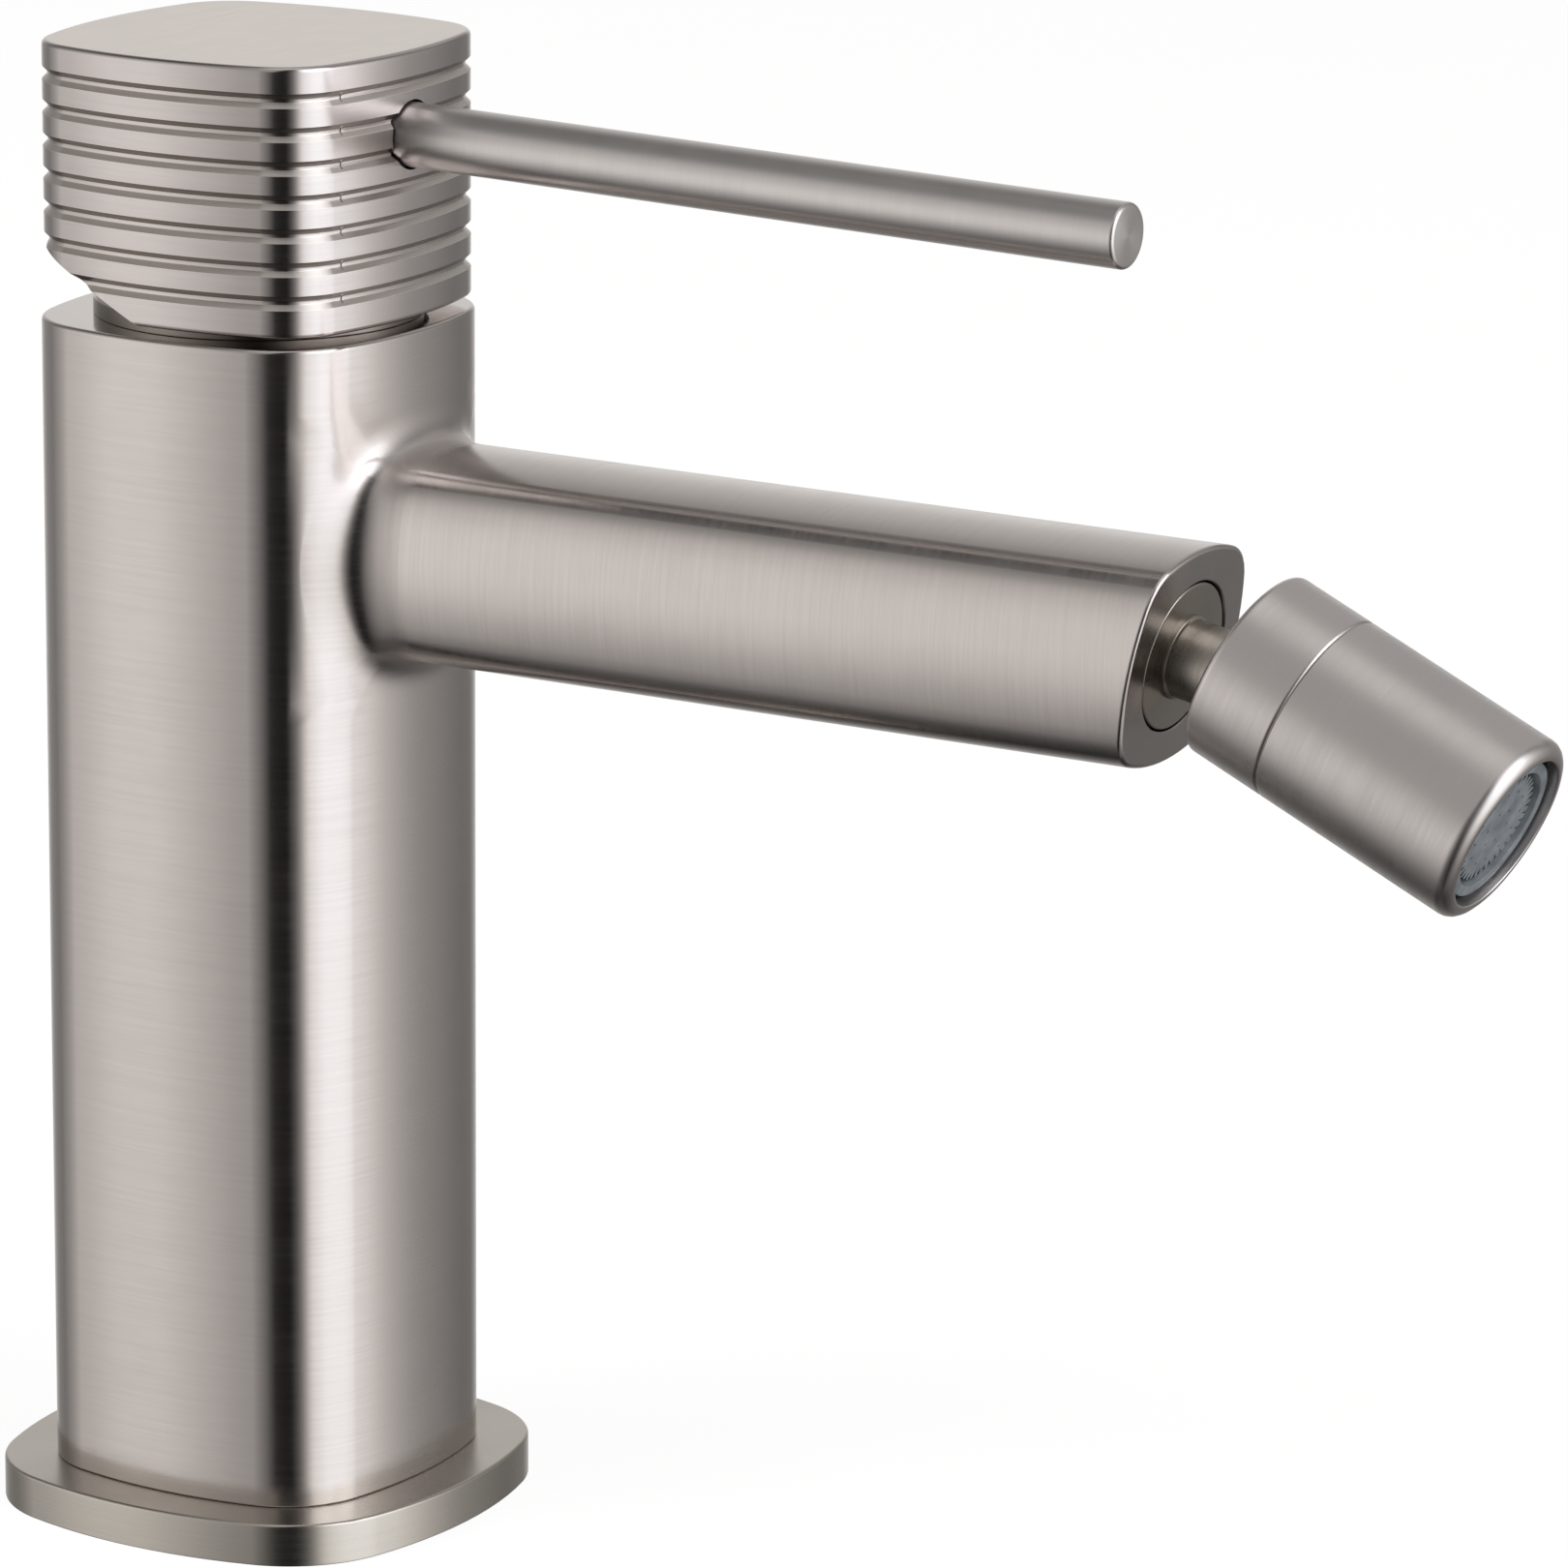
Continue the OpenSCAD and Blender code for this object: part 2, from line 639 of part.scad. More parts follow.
module ball_nut() color("silver") at_nozzle() difference() {
    union() {
        translate([0, 0, -nozzle_back]) cylinder(r = nozzle_r, h = nozzle_back + nozzle_seam);
        cylinder(r = joint_thread_r, h = nozzle_seam + nut_spigot_len);
    }
    translate([0, 0, seat_ring_back]) cylinder(r = nut_in_r, h = 20);
    translate([0, 0, -nozzle_back])
        cylinder(r1 = flare_r, r2 = lip_r, h = nozzle_back + seat_ring_back + 0.001);
    translate([0, 0, -nozzle_back - 1]) cylinder(r = flare_r, h = 1.001);
}

module ball_seal() color("dimgray") at_nozzle() difference() {
    translate([0, 0, cup_front + 0.2]) tube(nut_in_r - running, 5, shoulder_t - cup_front - 0.2);
    sphere(r = ball_r + 2 * running + cup_wall);
}

module nozzle_housing() color("silver") at_nozzle() difference() {
    translate([0, 0, nozzle_seam]) cylinder(r = nozzle_r, h = nozzle_front - nozzle_seam);
    translate([0, 0, nozzle_seam - 1])
        cylinder(r = joint_thread_r + thread_fit, h = shoulder_t - nozzle_seam + 1);
    cylinder(r = passage_r, h = nozzle_front);
    translate([0, 0, shoulder_t + passage_len]) cylinder(r = mouth_r, h = nozzle_front);
}

module aerator_washer() color("dimgray") at_nozzle() translate([0, 0, shoulder_t + passage_len])
    tube(mouth_r - 0.1, passage_r + 0.3, washer_h);

// Sieve with a flat rim that rests on the cage
module aerator_filter() color("lightgray") at_nozzle() translate([0, 0, cage_t]) difference() {
    union() {
        translate([0, 0, -2.8]) cylinder(r = passage_r - 0.2, h = 3.4);
        cylinder(r = sieve_r, h = sieve_rim_h);
    }
    translate([0, 0, -2.2]) cylinder(r = passage_r - 0.8, h = 4);
    for (i = [0:7]) rotate(45 * i) translate([3, 0, -4]) cylinder(r = 0.7, h = 3);
    translate([0, 0, -4]) cylinder(r = 0.9, h = 3);
}

module flow_regulator() color("gold") at_nozzle() translate([0, 0, cage_t + sieve_rim_h]) difference() {
    cylinder(r = sieve_r, h = regulator_h);
    for (i = [0:11]) rotate(30 * i) translate([5.6, 0, -1]) cylinder(r = 0.6, h = 4);
    translate([0, 0, -1]) cylinder(r = 1.2, h = 4);
}

// Two fine meshes, drawn as perforated discs
module aerator_mesh() color("lightgray") at_nozzle() for (t = mesh_steps)
    translate([0, 0, cage_t + t]) difference() {
        cylinder(r = mesh_r, h = mesh_h);
        for (ring = [1:3]) for (i = [0:6 * ring - 1]) rotate(i * 60 / ring)
            translate([1.9 * ring, 0, -1]) cylinder(r = 0.6, h = 3);
    }

// Ring with a serrated inner edge at its mouth and ledges inside for what it holds
module aerator_cage() color("slategray") at_nozzle() translate([0, 0, cage_t]) difference() {
    cylinder(r = cage_r, h = cage_end - cage_t);
    translate([0, 0, -1]) cylinder(r = ledge_r, h = ledge_depth + 1);
    translate([0, 0, -1]) cylinder(r = cage_bore_r, h = cage_end);
    for (t = mesh_steps) translate([0, 0, t]) cylinder(r = mesh_r + running, h = mesh_h);
    translate([0, 0, grid_t - cage_t]) cylinder(r = grid_r, h = 5);
}

// Outlet disc: a rim in the cage and a raised face with a serrated edge
module outlet_disc() color("slategray") at_nozzle() translate([0, 0, grid_t]) difference() {
    union() {
        cylinder(r = grid_r - running, h = grid_h);
        cylinder(r = face_r, h = grid_h + face_h);
    }
    for (i = [0:serrations - 1]) rotate(i * 360 / serrations)
        translate([face_r - 0.4, -0.2, grid_h]) cube([1, 0.4, 2 * face_h]);
    for (q = [-face_rings:face_rings], s = [-face_rings:face_rings]) if (abs(q + s) <= face_rings)
        translate([face_pitch * (q + s / 2), face_pitch * s * sqrt(3) / 2, -1])
            cylinder(r = face_hole_r, h = 4, $fn = 6);
}

body();
base_flange();
base_gasket();
flange_o_ring();
cartridge_base();
inlet_seals();
fixed_disc();
cartridge_housing();
housing_o_ring();
retaining_nut();
collar();
collar_o_ring();
ball_stem();
stem_seal();
rotor();
pivot_pin();
limiter_ring();
moving_disc();
disc_carrier();
spindle();
socket_adapter();
handle_block();
lever_rod();
grub_screw();
ball_cup();
ball_seat_ring();
ball_nut();
ball_seal();
nozzle_housing();
aerator_washer();
aerator_filter();
flow_regulator();
aerator_mesh();
aerator_cage();
outlet_disc();
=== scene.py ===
import bisect
import json
import math

import bmesh
import bpy
from mathutils import Matrix, Vector


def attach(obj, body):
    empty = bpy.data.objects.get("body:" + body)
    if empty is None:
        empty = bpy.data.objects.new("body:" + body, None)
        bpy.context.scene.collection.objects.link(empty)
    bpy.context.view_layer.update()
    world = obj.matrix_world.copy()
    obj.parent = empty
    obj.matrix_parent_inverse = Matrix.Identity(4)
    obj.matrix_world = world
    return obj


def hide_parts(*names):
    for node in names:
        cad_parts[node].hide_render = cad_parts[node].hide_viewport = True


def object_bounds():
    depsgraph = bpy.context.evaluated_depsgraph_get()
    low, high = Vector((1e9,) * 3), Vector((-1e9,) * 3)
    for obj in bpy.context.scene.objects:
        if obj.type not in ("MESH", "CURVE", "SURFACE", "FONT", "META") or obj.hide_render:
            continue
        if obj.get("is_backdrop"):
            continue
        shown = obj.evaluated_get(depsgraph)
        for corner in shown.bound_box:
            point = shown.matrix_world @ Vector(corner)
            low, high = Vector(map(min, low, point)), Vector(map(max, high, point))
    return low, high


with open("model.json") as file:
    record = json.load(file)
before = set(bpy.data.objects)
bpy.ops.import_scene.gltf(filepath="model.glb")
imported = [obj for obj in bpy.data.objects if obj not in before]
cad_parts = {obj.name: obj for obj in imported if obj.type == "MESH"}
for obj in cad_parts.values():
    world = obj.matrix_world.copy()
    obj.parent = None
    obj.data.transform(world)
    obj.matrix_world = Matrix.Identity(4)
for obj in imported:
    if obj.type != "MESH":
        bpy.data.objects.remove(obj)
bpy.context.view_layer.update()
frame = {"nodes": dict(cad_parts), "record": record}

# Camera. A long lens about a metre away, to the right of the spout's side and a little above it.
# Its place is worked out from where the deck point under the column's axis falls in the picture.
PICTURE_PX = 1620
FOCAL_PX = 8793.54
SENSOR_MM = 36
view_azimuth, view_elevation, view_roll = (math.radians(a) for a in (30.8834, 14.1710, -0.4385))
origin_px = (277.1293, 1529.5679)
origin_depth_m = 0.959947

forward = Vector((-math.sin(view_azimuth) * math.cos(view_elevation),
                  math.cos(view_azimuth) * math.cos(view_elevation), -math.sin(view_elevation)))
level = Vector((math.cos(view_azimuth), math.sin(view_azimuth), 0))
plumb = forward.cross(level)
right = level * math.cos(view_roll) + plumb * math.sin(view_roll)
down = plumb * math.cos(view_roll) - level * math.sin(view_roll)
seen = [(p - PICTURE_PX / 2) / FOCAL_PX * origin_depth_m for p in origin_px]
camera_place = -(right * seen[0] + down * seen[1] + forward * origin_depth_m)

camera = bpy.data.objects.new("camera", bpy.data.cameras.new("camera"))
camera.data.sensor_width = SENSOR_MM
camera.data.lens = FOCAL_PX / PICTURE_PX * SENSOR_MM
camera.data.clip_start, camera.data.clip_end = 0.05, 20
facing = Matrix((right, -down, -forward)).transposed().to_4x4()
camera.matrix_world = Matrix.Translation(camera_place) @ facing
bpy.context.scene.collection.objects.link(camera)
bpy.context.scene.camera = camera
bpy.context.scene.view_settings.view_transform = "Standard"


# Studio. A pale room with a large soft box left and right of the camera, a dark gap between them
# where the camera stands, and a white wall behind the tap. The metal mirrors all of it, so it is
# drawn in the world.
def linear(colour):
    """An sRGB hex colour as linear red, green, blue and alpha."""
    parts = [int(colour[i:i + 2], 16) / 255 for i in (1, 3, 5)]
    return [c / 12.92 if c <= 0.04045 else ((c + 0.055) / 1.055) ** 2.4 for c in parts] + [1]


def add(tree, kind, feeds=None, **settings):
    """Adds one node; feeds gives inputs a value, a socket, or a node whose first output is used."""
    made = tree.nodes.new(kind)
    for name, value in settings.items():
        setattr(made, name, value)
    for key, value in (feeds or {}).items():
        if isinstance(value, bpy.types.Node):
            value = value.outputs[0]
        if isinstance(value, bpy.types.NodeSocket):
            tree.links.new(value, made.inputs[key])
        else:
            made.inputs[key].default_value = value
    return made


def grey_ramp(tree, share, stops, span, top=1):
    """A grey ramp over a share of span degrees; stops are (degrees, brightness up to top)."""
    ramp = add(tree, "ShaderNodeValToRGB", {0: share})
    elements = ramp.color_ramp.elements
    while len(elements) < len(stops):
        elements.new(0.5)
    for element, (degrees, grey) in zip(elements, stops):
        element.position = degrees / span + 0.5
        element.color = [grey / top] * 3 + [1]
    return ramp


BRIGHTEST = 1.6
# Brightness round the room near eye level, by compass direction in degrees: the left soft box
# about -130, the dark gap with the camera at -60, the right soft box from -25 to 30 and the lit
# back wall about 125
round_the_room = [
    (-180, 0.3), (-168, 0.42), (-150, 0.7), (-138, 0.95), (-125, 0.96), (-113, 0.74), (-100, 0.5),
    (-84, 0.25), (-72, 0.03), (-52, 0.01), (-44, 0.12), (-38, 0.34), (-27, 1.22), (-9, 1.6),
    (12, 1.6), (28, 1.42), (41, 0.7), (53, 0.4), (78, 0.2), (94, 0.35), (113, 0.75), (125, 0.8),
    (138, 0.65), (155, 0.32), (174, 0.26)]
# Its share by degrees above eye level: the light fades upwards, and the floor falls into shade
up_the_room = [
    (-90, 0.06), (-60, 0.12), (-50, 0.22), (-38, 0.42), (-28, 0.62), (-18, 0.86), (-8, 1.0),
    (6, 1.0), (12, 0.92), (20, 0.8), (31, 0.66), (39, 0.54), (46, 0.36), (56, 0.22), (90, 0.34)]
# The right soft box is a tall one. Where the room's share of BRIGHTEST at eye level passes
# box_edge, its light stays up to the height at which tall_box falls off
tall_box = [(-90, 0), (5, 0), (14, 1), (50, 1), (62, 0), (90, 0)]
tall_box_light = 1.35
box_edge = (0.6, 0.8)
# The ceiling takes over between these degrees above eye level
ceiling_from, ceiling_to, ceiling_light = 62, 80, 0.69
# A long narrow soft box overhead, from front to back, that the drooping nozzle mirrors along its
# upper side. It fades over these shares of the direction, off the middle and above eye level
long_box_light = 0.41
long_box_side = (0.22, 0.42)
long_box_rise = (0.15, 0.45)
# The brightest box is a little cooler than the rest of the room
room_tint, box_tint = linear("#FFFEFC"), linear("#F7FBFF")
cooler_from, cooler_to = 0.9, 1.4

world = bpy.data.worlds.new("studio")
bpy.context.scene.world = world
world.use_nodes = True
room = world.node_tree
room.nodes.clear()
look = add(room, "ShaderNodeTexCoord").outputs["Generated"]
split = add(room, "ShaderNodeSeparateXYZ", {0: look})
compass = add(room, "ShaderNodeMath", {0: split.outputs["Y"], 1: split.outputs["X"]},
              operation="ARCTAN2")
compass = add(room, "ShaderNodeMath", {0: compass, 1: 1 / math.tau, 2: 0.5},
              operation="MULTIPLY_ADD")
height = add(room, "ShaderNodeMath", {0: split.outputs["Z"]}, operation="ARCSINE")
height = add(room, "ShaderNodeMath", {0: height, 1: 1 / math.pi, 2: 0.5},
             operation="MULTIPLY_ADD")
sides = grey_ramp(room, compass, round_the_room, 360, BRIGHTEST)
levels = grey_ramp(room, height, up_the_room, 180)
box_height = grey_ramp(room, height, tall_box, 180)
box_width = add(room, "ShaderNodeMapRange", {0: sides, 1: box_edge[0], 2: box_edge[1]})
box = add(room, "ShaderNodeMath", {0: box_height, 1: box_width}, operation="MULTIPLY")
fade = add(room, "ShaderNodeMix", {0: box, 2: levels, 3: tall_box_light})
walls = add(room, "ShaderNodeMath", {0: sides, 1: fade}, operation="MULTIPLY")
walls = add(room, "ShaderNodeMath", {0: walls, 1: BRIGHTEST}, operation="MULTIPLY")
off_middle = add(room, "ShaderNodeMath", {0: split.outputs["X"]}, operation="ABSOLUTE")
across = add(room, "ShaderNodeMapRange",
             {0: off_middle, 1: long_box_side[0], 2: long_box_side[1], 3: long_box_light, 4: 0},
             interpolation_type="SMOOTHSTEP")
above = add(room, "ShaderNodeMapRange",
            {0: split.outputs["Z"], 1: long_box_rise[0], 2: long_box_rise[1]},
            interpolation_type="SMOOTHSTEP")
strip = add(room, "ShaderNodeMath", {0: across, 1: above}, operation="MULTIPLY")
walls = add(room, "ShaderNodeMath", {0: walls, 1: strip}, operation="MAXIMUM")
ceiling = add(room, "ShaderNodeMapRange",
              {0: height, 1: ceiling_from / 180 + 0.5, 2: ceiling_to / 180 + 0.5},
              interpolation_type="SMOOTHSTEP")
studio = add(room, "ShaderNodeMix", {0: ceiling, 2: walls, 3: ceiling_light})
cool = add(room, "ShaderNodeMapRange", {0: studio, 1: cooler_from, 2: cooler_to})
tint = add(room, "ShaderNodeMix", {0: cool, 6: room_tint, 7: box_tint}, data_type="RGBA")
tinted = add(room, "ShaderNodeVectorMath", {0: tint.outputs[2], "Scale": studio},
             operation="SCALE")
# The camera alone sees plain white behind the tap
path = add(room, "ShaderNodeLightPath")
shown = add(room, "ShaderNodeMix",
            {0: path.outputs["Is Camera Ray"], 6: tinted, 7: linear("#FFFFFF")}, data_type="RGBA")
sky = add(room, "ShaderNodeBackground", {"Color": shown.outputs[2], "Strength": 1.0})
add(room, "ShaderNodeOutputWorld", {0: sky})

# Lamps. Two plain soft lamps, not mirrored by the metal, bring pale plastic and the floor to the
# colour that they are written in.
lamp_size, lamp_target = 1.2, Vector((0.04, 0, 0.08))
for lamp_name, place, power in (("soft_lamp_left", (-0.9, -1.2, 1.5), 34),
                                ("soft_lamp_right", (1.4, -0.5, 1.3), 26)):
    lamp = bpy.data.objects.new(lamp_name, bpy.data.lights.new(lamp_name, "AREA"))
    lamp.data.size, lamp.data.energy = lamp_size, power
    lamp.location = place
    lamp.rotation_euler = (lamp_target - Vector(place)).to_track_quat("-Z", "Y").to_euler()
    lamp.visible_glossy = False
    bpy.context.scene.collection.objects.link(lamp)


# Floor. White card that keeps a faint shadow; the metal looks past it to the room.
# The camera sees it glow, so that it runs into the white background.
def blank_material(name):
    """A new material with an empty node tree."""
    made = bpy.data.materials.new(name)
    made.use_nodes = True
    made.node_tree.nodes.clear()
    return made, made.node_tree


floor_half_m, glow_share = 4, 0.9
paper, tree = blank_material("white paper floor")
card = add(tree, "ShaderNodeBsdfDiffuse", {"Color": linear("#F4F3F1")})
glow = add(tree, "ShaderNodeEmission", {"Color": linear("#FFFFFF"), "Strength": 1.0})
path = add(tree, "ShaderNodeLightPath")
share = add(tree, "ShaderNodeMath", {0: path.outputs["Is Camera Ray"], 1: glow_share},
            operation="MULTIPLY")
both = add(tree, "ShaderNodeMixShader", {0: share, 1: card, 2: glow})
add(tree, "ShaderNodeOutputMaterial", {"Surface": both})
bm = bmesh.new()
bmesh.ops.create_grid(bm, x_segments=1, y_segments=1, size=floor_half_m)
floor_mesh = bpy.data.meshes.new("floor")
bm.to_mesh(floor_mesh)
bm.free()
floor_mesh.materials.append(paper)
floor = bpy.data.objects.new("floor", floor_mesh)
floor.visible_glossy = False
bpy.context.scene.collection.objects.link(floor)
floor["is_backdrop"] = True


# Column and spout. One brass casting with a bowed square column and a bowed square spout, blended
# where they meet, ground along its outline, brushed with a belt and nickel plated. It screws to
# the deck from below.
def corner_of(half_w, side_r, corner_r):
    """The centres of a bowed side and of the corner beside it, and the angle where they meet."""
    near = half_w - side_r
    centre = (near + math.sqrt(2 * (side_r - corner_r) ** 2 - near ** 2)) / 2
    return near, centre, math.atan2(centre, centre - near)


def rounded_point(turn, half_w, side_r, corner_r):
    """The point a share of a turn round a bowed square, from the middle of its +X side."""
    near, centre, lean = corner_of(half_w, side_r, corner_r)
    quarter = math.floor(turn * 4 + 0.5)
    along = turn * 4 - quarter
    side_share = 0.1875
    if abs(along) <= side_share:
        angle = lean * along / side_share
        x, y = near + side_r * math.cos(angle), side_r * math.sin(angle)
    else:
        past_side = (abs(along) - side_share) / (0.5 - side_share)
        angle = lean + past_side * (math.pi / 4 - lean)
        x, y = centre + corner_r * math.cos(angle), centre + corner_r * math.sin(angle)
        y = math.copysign(y, along)
    swing = quarter * math.pi / 2
    return (x * math.cos(swing) - y * math.sin(swing), x * math.sin(swing) + y * math.cos(swing))


LOOP_POINTS = 128


def rounded_loop(shape, z, inset=0):
    """A level loop on a bowed square (half width, side radius, corner radius), less inset."""
    return [Vector((*rounded_point(i / LOOP_POINTS, *(v - inset for v in shape)), z))
            for i in range(LOOP_POINTS)]


def round_loop(radius, z, shape):
    """A level circle whose points face those of the bowed square."""
    flat = [Vector(rounded_point(i / LOOP_POINTS, *shape)).normalized() * radius
            for i in range(LOOP_POINTS)]
    return [Vector((p.x, p.y, z)) for p in flat]


def extrude_loop(bm, ring, places):
    """Extrudes a closed ring of vertices and moves the new ring to its places."""
    edges = [bm.edges.get((ring[i - 1], v)) for i, v in enumerate(ring)]
    made = bmesh.ops.extrude_edge_only(bm, edges=edges)["geom"]
    new = {v for v in made if isinstance(v, bmesh.types.BMVert)}
    grown = [next(e.other_vert(v) for e in v.link_edges if e.other_vert(v) in new) for v in ring]
    for v, place in zip(grown, places):
        v.co = place
    return grown


def loft(bm, loops):
    """A closed skin through loops of as many points each, filled at both ends. Gives its rings."""
    made = bmesh.ops.create_circle(bm, cap_ends=False, segments=len(loops[0]), radius=1)["verts"]
    ring = sorted(made, key=lambda v: math.atan2(v.co.y, v.co.x) % math.tau)
    for v, place in zip(ring, loops[0]):
        v.co = place
    bm.faces.new(ring[::-1])
    rings = [ring]
    for places in loops[1:]:
        rings.append(extrude_loop(bm, rings[-1], places))
    bm.faces.new(rings[-1])
    return rings


def edge_round(radius, steps=5):
    """(inset, drop) pairs that carry a side round an edge of that radius, from side to face."""
    quarter = [math.pi / 2 * i / steps for i in range(steps + 1)]
    return [(radius * (1 - math.cos(a)), radius * (1 - math.sin(a))) for a in quarter]


def cut(bm, tool):
    """Takes the tool's volume out of the piece. Both are closed meshes; the tool is used up."""
    objects = []
    for part in (bm, tool):
        mesh = bpy.data.meshes.new("work")
        bmesh.ops.recalc_face_normals(part, faces=part.faces)
        part.to_mesh(mesh)
        objects.append(bpy.data.objects.new("work", mesh))
        bpy.context.scene.collection.objects.link(objects[-1])
    step = objects[0].modifiers.new("cut", "BOOLEAN")
    step.operation, step.solver, step.object = "DIFFERENCE", "EXACT", objects[1]
    shaped = objects[0].evaluated_get(bpy.context.evaluated_depsgraph_get())
    bm.clear()
    bm.from_mesh(shaped.to_mesh())
    tool.free()
    for obj in objects:
        bpy.data.meshes.remove(obj.data)


def rod(radius, start, end, place, segments=96):
    """A closed cylinder from start to end along the place's own Z."""
    bm = bmesh.new()
    middle = Matrix.Translation((0, 0, (start + end) / 2))
    bmesh.ops.create_cone(bm, cap_ends=True, segments=segments, radius1=radius, radius2=radius,
                          depth=end - start, matrix=place @ middle)
    return bm


# Vertices closer than MERGE_MM are one; faces that meet at more than SHARP_DEG show an edge
MERGE_MM, SHARP_DEG = 0.0005, 32


def piece(name, bm, finishes, body, nodes):
    """Makes a finished piece from a mesh in millimetres: smooth, with true edges, on its body."""
    bmesh.ops.remove_doubles(bm, verts=bm.verts, dist=MERGE_MM)
    bmesh.ops.recalc_face_normals(bm, faces=bm.faces)
    bmesh.ops.scale(bm, vec=(0.001,) * 3, verts=bm.verts)
    mesh = bpy.data.meshes.new(name)
    bm.to_mesh(mesh)
    bm.free()
    mesh.shade_smooth()
    mesh.set_sharp_from_angle(angle=math.radians(SHARP_DEG))
    for finish in finishes:
        mesh.materials.append(finish)
    made = bpy.data.objects.new(name, mesh)
    bpy.context.scene.collection.objects.link(made)
    smooth = made.modifiers.new("even shading", "WEIGHTED_NORMAL")
    smooth.keep_sharp = True
    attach(made, body)
    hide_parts(*nodes)


def tilted(point, degrees):
    """A place whose Z axis leaves the point along +X, turned down by degrees."""
    return Matrix.Translation(point) @ Matrix.Rotation(math.radians(90 + degrees), 4, "Y")


def brushed(tree, axis, spacing_mm, streak_mm):
    """Noise drawn out across the axis, as a belt leaves it: spacing_mm apart, streak_mm long."""
    where = add(tree, "ShaderNodeTexCoord").outputs["Object"]
    along = add(tree, "ShaderNodeVectorMath", {0: where, 1: axis}, operation="DOT_PRODUCT")
    lines = add(tree, "ShaderNodeMath", {0: along.outputs["Value"], 1: 1000 / spacing_mm},
                operation="MULTIPLY")
    streaks = add(tree, "ShaderNodeVectorMath", {0: where, "Scale": 1000 / streak_mm},
                  operation="SCALE")
    spread = add(tree, "ShaderNodeVectorMath", {0: axis, 1: lines, 2: streaks},
                 operation="MULTIPLY_ADD")
    noise = add(tree, "ShaderNodeTexNoise",
                {"Vector": spread, "Scale": 1.0, "Detail": 3.0, "Roughness": 0.65})
    return noise.outputs["Fac"]


def nickel(name, axis, rough, tone="#DAD2CE", uneven=0.05, grain=0.03, spacing_mm=0.45,
           streak_mm=14, spread=0.55, spout_side=False):
    """Nickel plate over brushed brass. The brushing runs round the axis, so that reflections
    spread along it; rough goes up and down by uneven, and grain is how deep the lines look."""
    made, tree = blank_material(name)
    streaks = brushed(tree, axis, spacing_mm, streak_mm)
    blur = add(tree, "ShaderNodeCombineXYZ", {0: axis[0], 1: axis[1], 2: axis[2]})
    where = add(tree, "ShaderNodeTexCoord").outputs["Object"]
    if spout_side:
        # The belt turns from the column's direction to the spout's across the blend
        turn_from, turn_to = 0.0205, 0.0255
        reach = add(tree, "ShaderNodeSeparateXYZ", {0: where}).outputs["X"]
        share = add(tree, "ShaderNodeMapRange", {0: reach, 1: turn_from, 2: turn_to},
                    interpolation_type="SMOOTHSTEP")
        across = brushed(tree, (1, 0, 0), spacing_mm, streak_mm)
        streaks = add(tree, "ShaderNodeMix", {0: share, 2: streaks, 3: across}).outputs[0]
        blur = add(tree, "ShaderNodeMix", {0: share, 4: axis, 5: (1, 0, 0)}, data_type="VECTOR")
        blur = blur.outputs[1]
    blur = add(tree, "ShaderNodeVectorTransform", {0: blur}, vector_type="VECTOR",
               convert_from="OBJECT", convert_to="WORLD")
    # Hand finishing leaves soft patches, some 5 mm across, that are a little duller than the rest
    patch_share = 0.35
    patches = add(tree, "ShaderNodeTexNoise", {"Vector": where, "Scale": 200.0, "Detail": 1.0})
    both = add(tree, "ShaderNodeMix", {0: patch_share, 2: streaks, 3: patches.outputs["Fac"]})
    roughness = add(tree, "ShaderNodeMapRange",
                    {0: both, 1: 0.3, 2: 0.7, 3: rough - uneven, 4: rough + uneven})
    if spout_side:
        # The belt can't reach into the blend, which is finished by hand and duller
        blend_middle, dull_half, fading_half, duller = 0.0235, 0.0008, 0.0035, 0.2
        off_blend = add(tree, "ShaderNodeMath", {0: reach, 1: blend_middle},
                        operation="SUBTRACT")
        off_blend = add(tree, "ShaderNodeMath", {0: off_blend}, operation="ABSOLUTE")
        dull = add(tree, "ShaderNodeMapRange",
                   {0: off_blend, 1: fading_half, 2: dull_half, 3: 0, 4: duller},
                   interpolation_type="SMOOTHSTEP")
        roughness = add(tree, "ShaderNodeMath", {0: roughness, 1: dull}, operation="ADD")
    darker = [0.94 * c for c in linear(tone)[:3]] + [1]
    colour = add(tree, "ShaderNodeMix", {0: streaks, 6: linear(tone), 7: darker},
                 data_type="RGBA")
    relief = add(tree, "ShaderNodeBump",
                 {"Strength": grain, "Distance": 0.0002, "Height": streaks})
    skin = add(tree, "ShaderNodeBsdfPrincipled",
               {"Base Color": colour.outputs[2], "Metallic": 1.0, "Roughness": roughness,
                "Anisotropic": spread, "Normal": relief, "Tangent": blur})
    add(tree, "ShaderNodeOutputMaterial", {"Surface": skin})
    return made


# Sizes in millimetres. A bowed square is (half its width, its sides' radius, its corners' radius)
COLUMN = (21, 52, 10.8)
COLUMN_FOOT, COLUMN_TOP = 4.8, 134.4
SPOUT = (11.7, 24, 5.6)
SPOUT_Z = 110.2
SPOUT_REACH = 114.9
SPOUT_SLANT = 11.6
# The blend's size at the spout's sides, and above and below it
blend_side, blend_top = 5.2, 4.3
foot_edge, column_edge, spout_edge = 0.25, 0.5, 0.5
# Under the column: the spigot that the flange slides over, with its O-ring's groove
spigot_r, spigot_z, spigot_chamfer = 18, 0.6, 0.3
ring_r, ring_low, ring_high = 16.2, 1.3, 3.5
# From above: the retaining nut's thread and the cartridge's bore below it
nut_bore_r, nut_bore_floor, bore_chamfer = 16, 124.4, 0.2
cartridge_bore_r, cartridge_floor = 14.3, 98.4
